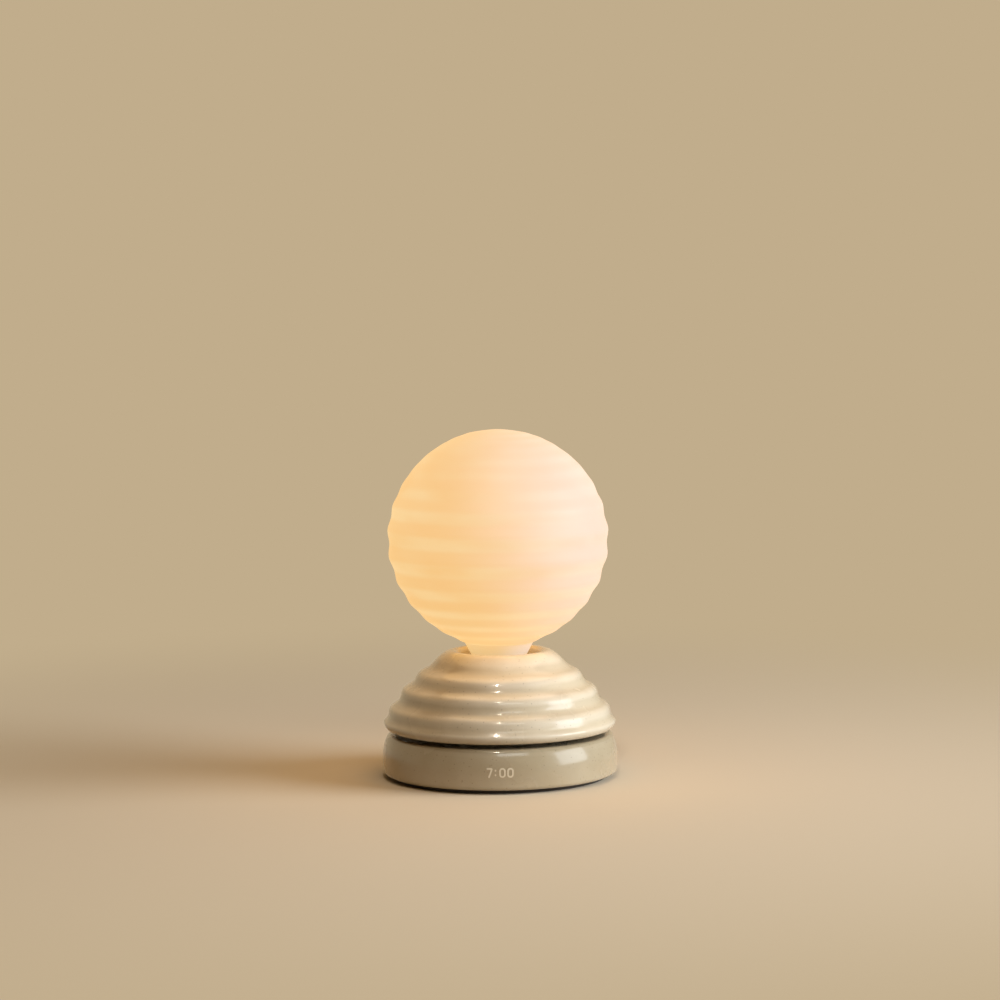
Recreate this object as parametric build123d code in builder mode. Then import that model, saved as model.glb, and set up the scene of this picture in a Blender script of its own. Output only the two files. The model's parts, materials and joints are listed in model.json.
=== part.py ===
from build123d import *
from math import asin, atan2, cos, degrees, dist, radians, sin, sqrt
import os

# A wake-up light: a rippled opal glass globe on a rippled ceramic dome, over a ceramic base with a hidden
# display. The dome is a push-and-turn dial. Millimetres, +Z up, the origin on the shelf under the centre,
# the display towards -Y and the buttons towards +Y.

# Clearances
fit_gap = 0.3
running_gap = 0.08
thread_gap = 0.05
glue_gap = 0.4
press_travel = 1.0
button_travel = 0.6

# Foot and bottom cover
foot_thickness = 3.3
foot_groove = 0.8
foot_inset = 6.0
foot_width = 6.0
foot_round = 0.6
cover_thickness = 2.0

# Glazed base
base_radius = 70.0
base_height = 23.5
base_wall = 3.5
base_edge_round = 2.5
side_height = 10.5
shoulder_radius = 24.0
shoulder_round = 3.0
window_wall = 1.2

# Chassis and its bosses
gasket_thickness = 0.5
gasket_inset = 5.6
chassis_inset = 7.9
chassis_thickness = 2.5
spigot_radius = 11.7
cover_boss_radius = 4.0
board_boss_radius = 3.0
board_boss_length = 3.0
tab_half_width = 10.0
tab_gap = 4.0

# Screws: shaft and head
screw_radius = 1.4
screw_head_radius = 2.7
screw_head_height = 1.7
small_screw_radius = 0.8
small_head_radius = 1.5
small_head_height = 1.2
screw_end_gap = 0.4
hex_socket_share = 0.55

# Circuit boards
board_thickness = 1.6
board_gap = 4.0
tongue_half_width = 6.0
small_board_thickness = 1.4
small_board_corner = 1.5
plug_depth = 5.0
led_plug_width = 7.0
dial_plug_width = 4.0

# What is on the main board: each chip's place in shares of the board's radius, and its size
chips = (
    ((-0.48, 0.26), (9.0, 9.0, 1.2)),
    ((-0.46, -0.26), (14.0, 10.0, 2.2)),
    ((0.26, 0.57), (5.0, 5.0, 1.0)),
    ((0.0, 0.7), (6.0, 5.0, 1.5)),
    ((-0.22, 0.57), (6.0, 2.6, 1.8)),
)
capacitor_radius = 3.15
capacitor_height = 5.4
capacitor_gap = 2.35
crystal_place = (-0.09, -0.48)
crystal_length = 8.0
crystal_width = 3.0
crystal_height = 1.9
cell_place = (0.35, -0.57)
cell_radius = 6.25
cell_thickness = 2.0
cell_floor = 0.7
cell_holder_wall = 1.2

# Speaker
speaker_radius = 22.5
speaker_gasket_thickness = 0.5
speaker_sheet = 0.8
basket_height = 5.5
basket_step = 1.5
basket_window_radius = 2.6
motor_radius = 11.5
magnet_radius = 9.0
magnet_height = 2.6
cone_radius = 15.0
cone_sheet = 0.5
coil_radius = 5.0
speaker_gasket_width = 3.0
surround_inset = 4.3
surround_sheet = 0.4
slot_width = 2.2
slot_pitch = 5.5

# Ballast
ballast_inner = 26.0
ballast_thickness = 3.5

# Display
display_height = 13.2
dot_pitch = 0.9
dot_columns = 18
dot_rows = 7
dot_size = 0.5
dot_height = 0.4
tunnel_size = 0.65
mask_margin = 2.2
diffuser_thickness = 0.8
display_board_gap = 0.5

# Rear panel, buttons and power socket
panel_inset = 4.0
panel_thickness = 1.8
panel_half_width = 21.7
panel_height = 10.6
panel_corner = 2.0
lug_half_width = 9.0
lug_lap = 0.8
button_radius = 3.2
button_proud = 1.6
button_flange_radius = 4.2
button_flange_thickness = 0.8
button_stem_radius = 1.2
stem_bite = 0.8
button_pitch = 10.5
button_middle_x = -6.5
switch_side = 6.0
switch_depth = 3.0
switch_corner = 0.6
socket_x = 15.5
socket_width = 8.94
socket_height = 3.26
socket_length = 7.35
socket_wall = 0.3
socket_round = 1.2
tongue_width = 6.54
tongue_thickness = 0.6
tongue_setback = 1.5

# Column
column_flange_radius = 42.0
column_flange_thickness = 2.0
column_outer = 20.0
column_inner = 17.0
column_height = 28.0
flange_margin = 5.0
dial_cable_inset = 5.8
ledge_inner = 14.0
ledge_thickness = 2.0
cable_hole_radius = 6.0
key_width = 3.0
key_depth = 1.0

# Press carrier, its springs and clips
spring_height = 6.0
spring_radius = 4.0
spring_wire = 0.6
spring_turns = 2.5
spring_gap = 3.5
spring_post_height = 2.5
carrier_flange_radius = 33.0
carrier_flange_thickness = 2.0
sleeve_wall = 2.9
washer_thickness = 1.0
washer_margin = 2.0
hub_height = 10.8
clip_thickness = 1.0
clip_width = 2.8
clip_bite = 0.8
clip_opening = 30.0

# Snooze switch and turn sensor
snooze_inset = 4.0
plunger_radius = 1.75
dial_board_width = 14.0
sensor_gap = 0.5
sensor_length = 3.0
sensor_width = 5.0

# Dome
dome_gap = 2.7
dome_radius = 69.0
dome_wall = 3.2
dome_arc_radius = 94.9
dome_crest_height = 46.9
crest_dip = 0.37
lip_proud = 0.19
dome_ripple = 0.48
ridge_lead = 0.185
ridge_share = 0.221
ridge_count = 4
rim_round = 3.0
throat_gap = 2.9
throat_depth = 11.6
lip_round = 3.8
lip_thickness = 6.4
lip_inner_round = 1.0

# Dome liner and encoder magnet
hub_wall = 3.4
web_lift = 3.0
web_thickness = 2.5
liner_rim_height = 5.0
liner_rim_wall = 2.5
liner_ribs = 8
liner_rib_thickness = 2.0
liner_rib_height = 3.5
liner_rib_bite = 0.5
web_hole_radius = 3.5
magnet_ring_inner = 36.5
magnet_ring_outer = 41.0
magnet_ring_thickness = 2.5

# Light engine
heat_sink_height = 10.0
heat_sink_plate = 3.0
heat_sink_core = 5.0
heat_sink_fins = 10
fin_thickness = 1.2
cable_radius = 1.5
led_side = 2.6
led_height = 0.7
guide_radius = 12.4
guide_wall = 1.2
guide_flange = 13.0
guide_flange_height = 1.2
guide_height = 26.6

# Collar and globe
collar_outer = 21.5
collar_shoulder = 5.0
collar_depth = 9.0
seal_thickness = 1.0
neck_radius = 15.5
neck_wall = 2.5
neck_length = 8.8
neck_corner_radius = 20.5
neck_corner_height = 18.3
neck_corner_round = 1.5
globe_radius = 65.2
globe_squash = 0.99
globe_wall = 2.8
widest_angle = 92.0
ripple_depth = 0.6
ripple_angle_above = 13.9
ripple_narrowing_above = 0.5
ripple_least_above = 0.1
ripple_fading_above = 12
ripples_above = 8
ripple_angle_below = 15.3
ripple_narrowing_below = 0.6
ripple_least_below = 0.25
ripple_fading_below = 4
ripples_below = 5

# Levels, from the shelf up
base_low = foot_thickness - foot_groove
cover_top = base_low + cover_thickness
base_top = base_low + base_height
hollow_top = base_top - base_wall
chassis_top = hollow_top - gasket_thickness
chassis_low = chassis_top - chassis_thickness
board_top = chassis_low - board_boss_length
board_low = board_top - board_thickness
controls_z = board_low - socket_height / 2
flange_top = base_top + column_flange_thickness
carrier_low = flange_top + spring_height
carrier_flange_top = carrier_low + carrier_flange_thickness
hub_low = carrier_flange_top + washer_thickness
hub_top = hub_low + hub_height
hub_clip_low = hub_top + 2 * running_gap
carrier_top = hub_clip_low + 2 * clip_thickness
column_top = flange_top + column_height
ledge_top = column_top - heat_sink_height
led_board_top = column_top + small_board_thickness
shoulder_z = column_top + collar_shoulder
collar_top = shoulder_z + collar_depth
neck_low = shoulder_z + seal_thickness
globe_rise = neck_corner_height + sqrt(globe_radius**2 - neck_corner_radius**2)
globe_z = neck_low + globe_rise
web_low = hub_low + web_lift
web_top = web_low + web_thickness
dome_low = base_top + dome_gap
dome_crest_z = dome_low + dome_crest_height

# Radii that follow from the fits
hollow_radius = base_radius - base_wall
foot_outer = base_radius - foot_inset
foot_inner = foot_outer - foot_width
chassis_radius = hollow_radius - chassis_inset
tab_reach = hollow_radius - tab_gap
gasket_outer = chassis_radius - gasket_inset
cover_boss_circle = chassis_radius - cover_boss_radius - 2 * fit_gap
board_radius = cover_boss_circle - cover_boss_radius - board_gap
board_boss_circle = board_radius - 2 * board_boss_radius
column_screw_circle = column_flange_radius - flange_margin
dial_cable_x = column_flange_radius - dial_cable_inset
spring_circle = column_outer + spring_radius + spring_gap
snooze_x = carrier_flange_radius - snooze_inset
carrier_bore = column_outer + running_gap
sleeve_outer = carrier_bore + sleeve_wall
hub_bore = sleeve_outer + running_gap
hub_outer = hub_bore + hub_wall
throat_radius = collar_outer + throat_gap
dome_crest_radius = throat_radius + rim_round
collar_screw_circle = (neck_radius + fit_gap + collar_outer) / 2
led_circle = 2 * led_side + fit_gap
led_screw_circle = guide_radius - guide_wall - small_head_radius - fit_gap
globe_throat = neck_corner_radius - 0.8 * globe_wall
screw_hole = screw_radius + thread_gap
small_screw_hole = small_screw_radius + thread_gap
board_screw_length = board_thickness + board_boss_length - screw_end_gap

# The dome's plain arc, from just above its crest to just inside the side of its lip
arc_high = (dome_crest_radius, dome_crest_z + crest_dip)
arc_low = (dome_radius - lip_proud, dome_low + lip_round)
arc_chord = dist(arc_high, arc_low)
arc_share = sqrt(dome_arc_radius**2 - arc_chord**2 / 4) / arc_chord
dome_arc_x = (arc_high[0] + arc_low[0]) / 2 - arc_share * (arc_high[1] - arc_low[1])
dome_arc_z = (arc_high[1] + arc_low[1]) / 2 - arc_share * (arc_low[0] - arc_high[0])
crest_angle = degrees(atan2(arc_high[0] - dome_arc_x, arc_high[1] - dome_arc_z))
lip_angle = degrees(atan2(arc_low[0] - dome_arc_x, arc_low[1] - dome_arc_z))
first_ridge = crest_angle + ridge_lead * (lip_angle - crest_angle)
ridge_pitch = ridge_share * (lip_angle - crest_angle)

# Places along Y at the front and the back
panel_face = base_radius - panel_inset
display_board_face = tab_reach - display_board_gap
panel_back = panel_face - panel_thickness
switch_front = panel_back - button_flange_thickness - button_travel - fit_gap
button_board_face = switch_front - switch_depth

UP = (Align.CENTER, Align.CENTER, Align.MIN)
DOWN = (Align.CENTER, Align.CENTER, Align.MAX)


def base_section(inset):
    """Half-section of the base: its outside, or its hollow when inset by the wall."""
    side = base_radius - inset
    top = base_top - inset
    curve_radius = shoulder_radius - inset
    curve_low = base_low + side_height
    curve_angle = degrees(asin((top - curve_low) / curve_radius))
    with BuildSketch(Plane.XZ) as section:
        with BuildLine():
            floor = Line((0, base_low), (side, base_low))
            wall = Line(floor @ 1, (side, curve_low))
            curve = CenterArc((side - curve_radius, curve_low), curve_radius, 0, curve_angle)
            Polyline(curve @ 1, (0, top), (0, base_low))
        make_face()
        fillet(section.vertices().sort_by_distance(curve @ 1)[0], radius=shoulder_round)
        if inset == 0:
            fillet(section.vertices().sort_by_distance(floor @ 1)[0], radius=base_edge_round)
    return section.sketch


def dome_point(angle, depth):
    """Point of the dome's half-section at an angle from the vertical, depth outside its plain arc."""
    radius = dome_arc_radius + depth
    return (dome_arc_x + radius * sin(radians(angle)), dome_arc_z + radius * cos(radians(angle)))


def dome_inside(z, inset):
    """Radius at height z of the dome's plain arc, moved inwards."""
    return dome_arc_x + sqrt((dome_arc_radius - inset) ** 2 - (z - dome_arc_z) ** 2)


def dome_inside_height(x, inset):
    """Height at radius x of the dome's plain arc, moved inwards."""
    return dome_arc_z + sqrt((dome_arc_radius - inset) ** 2 - (x - dome_arc_x) ** 2)


def dome_arc(start, end, inset):
    """Arc of the dome's half-section between two points that lie on it."""
    angles = [degrees(atan2(x - dome_arc_x, z - dome_arc_z)) for x, z in (start, end)]
    return ThreePointArc(start, dome_point(sum(angles) / 2, -inset), end)


def globe_point(angle, depth):
    """Point of the globe's half-section at an angle from its top, depth outside the plain globe."""
    return (
        (globe_radius + depth) * sin(radians(angle)),
        globe_z + (globe_radius * globe_squash + depth) * cos(radians(angle)),
    )


def globe_ripple(step):
    """Angle and depth of a ripple's turning point: whole steps are valleys and halves are ridges."""
    if step < 0:
        pitch = ripple_angle_above + ripple_narrowing_above * step
        least, fading = ripple_least_above, ripple_fading_above
    else:
        pitch = ripple_angle_below - ripple_narrowing_below * step
        least, fading = ripple_least_below, ripple_fading_below
    angle = widest_angle + step * pitch
    height = ripple_depth * (least + (1 - least) * sin(radians(angle)) ** fading)
    return globe_point(angle, height if step % 1 else -height)


def screw(shaft, head, head_height, length):
    """A cap screw standing head up, the underside of its head at height zero."""
    with BuildPart() as body:
        Cylinder(shaft, length, align=DOWN)
        Cylinder(head, head_height, align=UP)
        fillet(body.edges().group_by(Axis.Z)[-1], radius=head_height / 4)
        with BuildSketch(Plane.XY.offset(head_height)):
            RegularPolygon(head * hex_socket_share, 6)
        extrude(amount=-head_height / 2, mode=Mode.SUBTRACT)
    return body.part


def clip(groove_radius, low):
    """A snap ring with an opening, lying in a groove."""
    with BuildPart() as ring:
        with BuildSketch(Plane.XY.offset(low)):
            Circle(groove_radius + fit_gap / 2 + clip_width)
            Circle(groove_radius + fit_gap / 2, mode=Mode.SUBTRACT)
            with BuildLine():
                reach = 2 * (groove_radius + clip_width)
                side = reach * sin(radians(clip_opening / 2))
                Polyline((0, 0), (reach, side), (reach, -side), close=True)
            make_face(mode=Mode.SUBTRACT)
        extrude(amount=clip_thickness)
    return ring.part


# Base: foot, cover and glazed shell

with BuildPart() as foot_ring:
    with BuildSketch():
        Circle(foot_outer)
        Circle(foot_inner, mode=Mode.SUBTRACT)
    extrude(amount=foot_thickness)
    fillet(foot_ring.edges().group_by(Axis.Z)[0], radius=foot_round)

with BuildPart() as bottom_cover:
    with BuildSketch(Plane.XY.offset(base_low)):
        Circle(hollow_radius - fit_gap)
        for row in (-2, -1, 0, 1, 2):
            slot_length = 2 * sqrt(cone_radius**2 - (row * slot_pitch) ** 2)
            with Locations((0, row * slot_pitch)):
                SlotOverall(slot_length, slot_width, mode=Mode.SUBTRACT)
        with PolarLocations(cover_boss_circle, 4, start_angle=45):
            Circle(screw_hole, mode=Mode.SUBTRACT)
    extrude(amount=cover_thickness)
    with BuildSketch(Plane.XY.offset(base_low)):
        Circle(foot_outer + fit_gap)
        Circle(foot_inner - fit_gap, mode=Mode.SUBTRACT)
    extrude(amount=foot_groove, mode=Mode.SUBTRACT)
    with BuildSketch(Plane.XY.offset(base_low)):
        with PolarLocations(cover_boss_circle, 4, start_angle=45):
            Circle(screw_head_radius + fit_gap)
    extrude(amount=cover_thickness / 2, mode=Mode.SUBTRACT)

with BuildPart() as base_shell:
    add(base_section(0))
    revolve(axis=Axis.Z)
    add(base_section(base_wall))
    revolve(axis=Axis.Z, mode=Mode.SUBTRACT)
    with BuildSketch(Plane.XY.offset(base_top)):
        Circle(spigot_radius + fit_gap)
        with PolarLocations(column_screw_circle, 4, start_angle=45):
            Circle(screw_radius + 2 * fit_gap)
        with Locations((dial_cable_x, 0)):
            Circle(cable_radius + 2 * fit_gap)
    extrude(amount=-base_wall, mode=Mode.SUBTRACT)
    mask_half_width = dot_columns * dot_pitch / 2 + mask_margin
    mask_height = dot_rows * dot_pitch + 2 * mask_margin
    window_angle = 2 * degrees(asin((mask_half_width + 2 * fit_gap) / hollow_radius))
    with Locations((0, 0, display_height)):
        Cylinder(
            base_radius - window_wall,
            mask_height + 2 * fit_gap,
            arc_size=window_angle,
            rotation=(0, 0, -90 - window_angle / 2),
            align=(Align.NONE, Align.NONE, Align.CENTER),
            mode=Mode.SUBTRACT,
        )
    with BuildSketch(Plane.XZ.offset(-tab_reach + 2 * panel_thickness)):
        with Locations((0, controls_z)):
            RectangleRounded(2 * (panel_half_width + fit_gap), panel_height + 2 * fit_gap, panel_corner)
    extrude(amount=-base_wall - base_radius + tab_reach, mode=Mode.SUBTRACT)

with BuildPart() as shell_gasket:
    with BuildSketch(Plane.XY.offset(chassis_top)):
        Circle(gasket_outer)
        Circle(column_flange_radius, mode=Mode.SUBTRACT)
    extrude(amount=gasket_thickness)

# Chassis

with BuildPart() as chassis:
    with BuildSketch(Plane.XY.offset(chassis_low)):
        Circle(chassis_radius)
        Rectangle(2 * tab_half_width, 2 * tab_reach)
    extrude(amount=chassis_thickness)
    with BuildSketch(Plane.XY.offset(chassis_top)):
        Circle(spigot_radius)
    extrude(amount=base_top - chassis_top)
    with BuildSketch(Plane.XY.offset(cover_top)):
        with PolarLocations(cover_boss_circle, 4, start_angle=45):
            Circle(cover_boss_radius)
    extrude(amount=chassis_low - cover_top)
    with BuildSketch(Plane.XY.offset(board_top)):
        with PolarLocations(board_boss_circle, 4, start_angle=20):
            Circle(board_boss_radius)
    extrude(amount=board_boss_length)
    with BuildSketch(Plane.XY.offset(cover_top)):
        with PolarLocations(cover_boss_circle, 4, start_angle=45):
            Circle(screw_hole)
    extrude(amount=chassis_low - cover_top, mode=Mode.SUBTRACT)
    with BuildSketch(Plane.XY.offset(board_top)):
        with PolarLocations(board_boss_circle, 4, start_angle=20):
            Circle(small_screw_hole)
    extrude(amount=board_boss_length, mode=Mode.SUBTRACT)
    with BuildSketch(Plane.XY.offset(chassis_low)):
        Circle(cable_hole_radius)
        with PolarLocations(column_screw_circle, 4, start_angle=45):
            Circle(screw_hole)
        with Locations((dial_cable_x, 0)):
            Circle(cable_radius + 2 * fit_gap)
    extrude(amount=base_top - chassis_low, mode=Mode.SUBTRACT)

cover_screw_length = chassis_low - cover_top
with BuildPart() as cover_screws:
    with Locations(Location((0, 0, base_low + cover_thickness / 2), (180, 0, 0))):
        with PolarLocations(cover_boss_circle, 4, start_angle=45):
            add(screw(screw_radius, screw_head_radius, cover_thickness / 2 - running_gap, cover_screw_length))

with BuildPart() as ballast_ring:
    with BuildSketch(Plane.XY.offset(cover_top)):
        Circle(cover_boss_circle - cover_boss_radius - fit_gap)
        Circle(ballast_inner, mode=Mode.SUBTRACT)
    extrude(amount=ballast_thickness)
    chamfer(ballast_ring.edges().group_by(Axis.Z)[-1], length=0.5)

# Main board and what is on it


def on_board(place, drop=0.0):
    """Point under the main board at a place given in shares of its radius."""
    return (place[0] * board_radius, place[1] * board_radius, board_low - drop)


socket_back = panel_face - socket_length
with BuildPart() as main_board:
    with BuildSketch(Plane.XY.offset(board_low)):
        Circle(board_radius)
        with Locations((socket_x, panel_back / 2)):
            Rectangle(2 * tongue_half_width, panel_back - fit_gap)
        with PolarLocations(board_boss_circle, 4, start_angle=20):
            Circle(small_screw_hole, mode=Mode.SUBTRACT)
    extrude(amount=board_thickness)

with BuildPart() as board_screws:
    with Locations(Location((0, 0, board_low), (180, 0, 0))):
        with PolarLocations(board_boss_circle, 4, start_angle=-20):
            add(screw(small_screw_radius, small_head_radius, small_head_height, board_screw_length))

with BuildPart() as board_chips:
    for place, chip_size in chips:
        with Locations(on_board(place)):
            Box(*chip_size, align=DOWN)
    chamfer(board_chips.edges().filter_by(Axis.Z), length=0.3)

with BuildPart() as board_capacitors:
    with PolarLocations(speaker_radius + capacitor_radius + capacitor_gap, 3, start_angle=-25, angular_range=60):
        with Locations((0, 0, board_low)):
            Cylinder(capacitor_radius, capacitor_height, align=DOWN)
    fillet(board_capacitors.edges().group_by(Axis.Z)[0], radius=0.5)

with BuildPart() as clock_crystal:
    with BuildSketch(Plane.XY.offset(board_low)):
        with Locations(on_board(crystal_place)):
            SlotOverall(crystal_length, crystal_width)
    extrude(amount=-crystal_height)

with BuildPart() as cell_holder:
    with Locations(on_board(cell_place)):
        Cylinder(cell_radius + cell_holder_wall, cell_thickness + cell_floor, align=DOWN)
    with Locations(on_board(cell_place, cell_floor)):
        Cylinder(cell_radius + fit_gap / 2, cell_thickness, align=DOWN, mode=Mode.SUBTRACT)

with BuildPart() as backup_cell:
    with Locations(on_board(cell_place, cell_floor)):
        Cylinder(cell_radius, cell_thickness, align=DOWN)
    chamfer(backup_cell.edges().group_by(Axis.Z)[0], length=0.4)

with BuildPart() as led_plug:
    with Locations((0, 0, board_top)):
        Box(led_plug_width, plug_depth, board_boss_length - fit_gap, align=UP)

with BuildPart() as dial_plug:
    with Locations((dial_cable_x, 0, board_top)):
        Box(dial_plug_width, plug_depth, board_boss_length - fit_gap, align=UP)

# Power socket

with BuildPart() as power_socket:
    with BuildSketch(Plane.XZ.offset(-socket_back)):
        with Locations((socket_x, controls_z)):
            RectangleRounded(socket_width, socket_height, socket_round)
    extrude(amount=-socket_length)
    with BuildSketch(Plane.XZ.offset(-socket_back - socket_wall)):
        with Locations((socket_x, controls_z)):
            RectangleRounded(
                socket_width - 2 * socket_wall,
                socket_height - 2 * socket_wall,
                socket_round - socket_wall,
            )
    extrude(amount=-socket_length, mode=Mode.SUBTRACT)

with BuildPart() as socket_tongue:
    with BuildSketch(Plane.XZ.offset(-socket_back - socket_wall)):
        with Locations((socket_x, controls_z)):
            Rectangle(tongue_width, tongue_thickness)
    extrude(amount=-socket_length + tongue_setback)

# Speaker, firing down through the slots of the cover

gasket_top = cover_top + speaker_gasket_thickness
flange_z = gasket_top + speaker_sheet
basket_z = gasket_top + basket_height
with BuildPart() as speaker_gasket:
    with BuildSketch(Plane.XY.offset(cover_top)):
        Circle(speaker_radius)
        Circle(speaker_radius - speaker_gasket_width, mode=Mode.SUBTRACT)
    extrude(amount=speaker_gasket_thickness)

surround_outer = speaker_radius - surround_inset
with BuildPart() as speaker_frame:
    with BuildSketch(Plane.XZ):
        with BuildLine():
            Polyline(
                (surround_outer - surround_sheet, gasket_top),
                (speaker_radius, gasket_top),
                (speaker_radius, flange_z),
                (speaker_radius - basket_step, flange_z),
                (speaker_radius - basket_step - speaker_sheet, basket_z - speaker_sheet),
                (motor_radius, basket_z + speaker_sheet),
                (coil_radius + 2 * fit_gap, basket_z + speaker_sheet),
                (coil_radius + 2 * fit_gap, basket_z),
                (motor_radius - speaker_sheet / 2, basket_z),
                (speaker_radius - basket_step - 2 * speaker_sheet, basket_z - 2 * speaker_sheet),
                (speaker_radius - basket_step - speaker_sheet, flange_z),
                (surround_outer - surround_sheet, flange_z),
                close=True,
            )
        make_face()
    revolve(axis=Axis.Z)
    with BuildSketch(Plane.XY.offset(flange_z)):
        with PolarLocations((speaker_radius + motor_radius) / 2, 6):
            Circle(basket_window_radius)
    extrude(amount=basket_height, mode=Mode.SUBTRACT)

with BuildPart() as speaker_magnet:
    with Locations((0, 0, basket_z + speaker_sheet)):
        Cylinder(magnet_radius, magnet_height, align=UP)
    chamfer(speaker_magnet.edges().group_by(Axis.Z)[-1], length=0.4)

surround_middle = (surround_outer + cone_radius - surround_sheet) / 2
surround_roll = surround_outer - surround_middle
with BuildPart() as speaker_surround:
    with BuildSketch(Plane.XZ):
        with Locations((surround_middle, flange_z)):
            Circle(surround_roll)
            Circle(surround_roll - surround_sheet, mode=Mode.SUBTRACT)
        with Locations((surround_middle, flange_z - surround_roll)):
            Rectangle(3 * surround_roll, 2 * surround_roll, mode=Mode.SUBTRACT)
    revolve(axis=Axis.Z)

coil_low = basket_z - speaker_sheet
coil_wall = fit_gap
with BuildPart() as speaker_cone:
    with BuildSketch(Plane.XZ):
        with BuildLine():
            Polyline(
                (cone_radius, flange_z),
                (cone_radius, flange_z - cone_sheet),
                (coil_radius, coil_low - 1.2 * cone_sheet),
                (0, coil_low - 2.8 * cone_sheet),
                (0, coil_low - 1.8 * cone_sheet),
                (coil_radius + coil_wall, coil_low),
                (cone_radius - 1.6 * cone_sheet, flange_z),
                close=True,
            )
        make_face()
    revolve(axis=Axis.Z)

with BuildPart() as voice_coil:
    with BuildSketch(Plane.XY.offset(coil_low)):
        Circle(coil_radius + coil_wall)
        Circle(coil_radius - 0.7 * coil_wall, mode=Mode.SUBTRACT)
    extrude(amount=2 * speaker_sheet - 0.7 * coil_wall)

# Display behind the thinned glaze

with BuildPart() as display_board:
    with Locations((0, -display_board_face, cover_top)):
        Box(
            2 * mask_half_width,
            small_board_thickness,
            chassis_low - cover_top,
            align=(Align.CENTER, Align.MIN, Align.MIN),
        )

with BuildPart() as display_leds:
    with BuildSketch(Plane.XZ.offset(display_board_face)):
        with Locations((0, display_height)):
            with GridLocations(dot_pitch, dot_pitch, dot_columns, dot_rows):
                Rectangle(dot_size, dot_size)
    extrude(amount=dot_height)

mask_front = hollow_radius + base_wall - window_wall - diffuser_thickness - 2 * fit_gap
with BuildPart() as light_mask:
    with BuildSketch(Plane.XY.offset(display_height - mask_height / 2)):
        Circle(mask_front)
        with Locations((0, -display_board_face)):
            Rectangle(
                2 * mask_half_width,
                base_radius - display_board_face,
                align=(Align.CENTER, Align.MAX),
                mode=Mode.INTERSECT,
            )
    extrude(amount=mask_height)
    with BuildSketch(Plane.XZ.offset(display_board_face)):
        with Locations((0, display_height)):
            with GridLocations(dot_pitch, dot_pitch, dot_columns, dot_rows):
                Rectangle(tunnel_size, tunnel_size)
    extrude(amount=base_radius - display_board_face, mode=Mode.SUBTRACT)

with BuildPart() as display_diffuser:
    with BuildSketch(Plane.XY.offset(display_height - mask_height / 2)):
        Circle(mask_front + fit_gap + diffuser_thickness)
        Circle(mask_front + fit_gap, mode=Mode.SUBTRACT)
        with Locations((0, -display_board_face)):
            Rectangle(
                2 * mask_half_width,
                base_radius - display_board_face,
                align=(Align.CENTER, Align.MAX),
                mode=Mode.INTERSECT,
            )
    extrude(amount=mask_height)

# Rear panel and its buttons

button_x = [button_middle_x + step * button_pitch for step in (-1, 0, 1)]
with BuildPart() as rear_panel:
    with BuildSketch(Plane.XZ.offset(-panel_back)):
        with Locations((0, controls_z)):
            RectangleRounded(2 * panel_half_width, panel_height, panel_corner - fit_gap)
    extrude(amount=-panel_thickness)
    fillet(rear_panel.edges().group_by(Axis.Y)[-1], radius=0.4)
    for lug_low, lug_high in (
        (cover_top, controls_z - panel_height / 2 + lug_lap),
        (controls_z + panel_height / 2 - lug_lap, chassis_low),
    ):
        with BuildSketch(Plane.XY.offset(lug_low)):
            with Locations((0, panel_back)):
                Rectangle(2 * lug_half_width, 2 * panel_thickness, align=(Align.CENTER, Align.MAX))
        extrude(amount=lug_high - lug_low)
    with BuildSketch(Plane.XZ.offset(-panel_face)):
        for x in button_x:
            with Locations((x, controls_z)):
                Circle(button_radius + fit_gap)
        with Locations((socket_x, controls_z)):
            RectangleRounded(socket_width + 2 * fit_gap, socket_height + 2 * fit_gap, socket_round)
    extrude(amount=panel_thickness, mode=Mode.SUBTRACT)

with BuildPart() as button_board:
    with Locations((button_middle_x, button_board_face, cover_top)):
        Box(
            2 * button_pitch + 1.5 * switch_side,
            small_board_thickness,
            controls_z + panel_height / 2 - cover_top,
            align=(Align.CENTER, Align.MAX, Align.MIN),
        )

with BuildPart() as button_switches:
    with BuildSketch(Plane.XZ.offset(-button_board_face)):
        for x in button_x:
            with Locations((x, controls_z)):
                RectangleRounded(switch_side, switch_side, switch_corner)
    extrude(amount=-switch_depth)
    with BuildSketch(Plane.XZ.offset(-switch_front)):
        for x in button_x:
            with Locations((x, controls_z)):
                Circle(button_stem_radius + fit_gap)
    extrude(amount=2 * button_travel + fit_gap + stem_bite / 2, mode=Mode.SUBTRACT)

stem_length = button_travel + 2 * fit_gap + stem_bite


def button(x):
    """A push button: its cap, the flange that stops it behind the panel, and its stem in the switch."""
    flange_back = panel_back - button_flange_thickness
    with BuildPart() as cap:
        with BuildSketch(Plane.XZ.offset(-flange_back)):
            with Locations((x, controls_z)):
                Circle(button_radius)
        extrude(amount=-(panel_face + button_proud - flange_back))
        fillet(cap.edges().group_by(Axis.Y)[-1], radius=0.5)
        with BuildSketch(Plane.XZ.offset(-flange_back)):
            with Locations((x, controls_z)):
                Circle(button_flange_radius)
        extrude(amount=-button_flange_thickness)
        with BuildSketch(Plane.XZ.offset(-flange_back)):
            with Locations((x, controls_z)):
                Circle(button_stem_radius)
        extrude(amount=stem_length)
    return cap.part


with BuildPart() as light_button:
    add(button(button_x[0]))

with BuildPart() as sound_button:
    add(button(button_x[1]))

with BuildPart() as alarm_button:
    add(button(button_x[2]))

# Column

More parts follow.
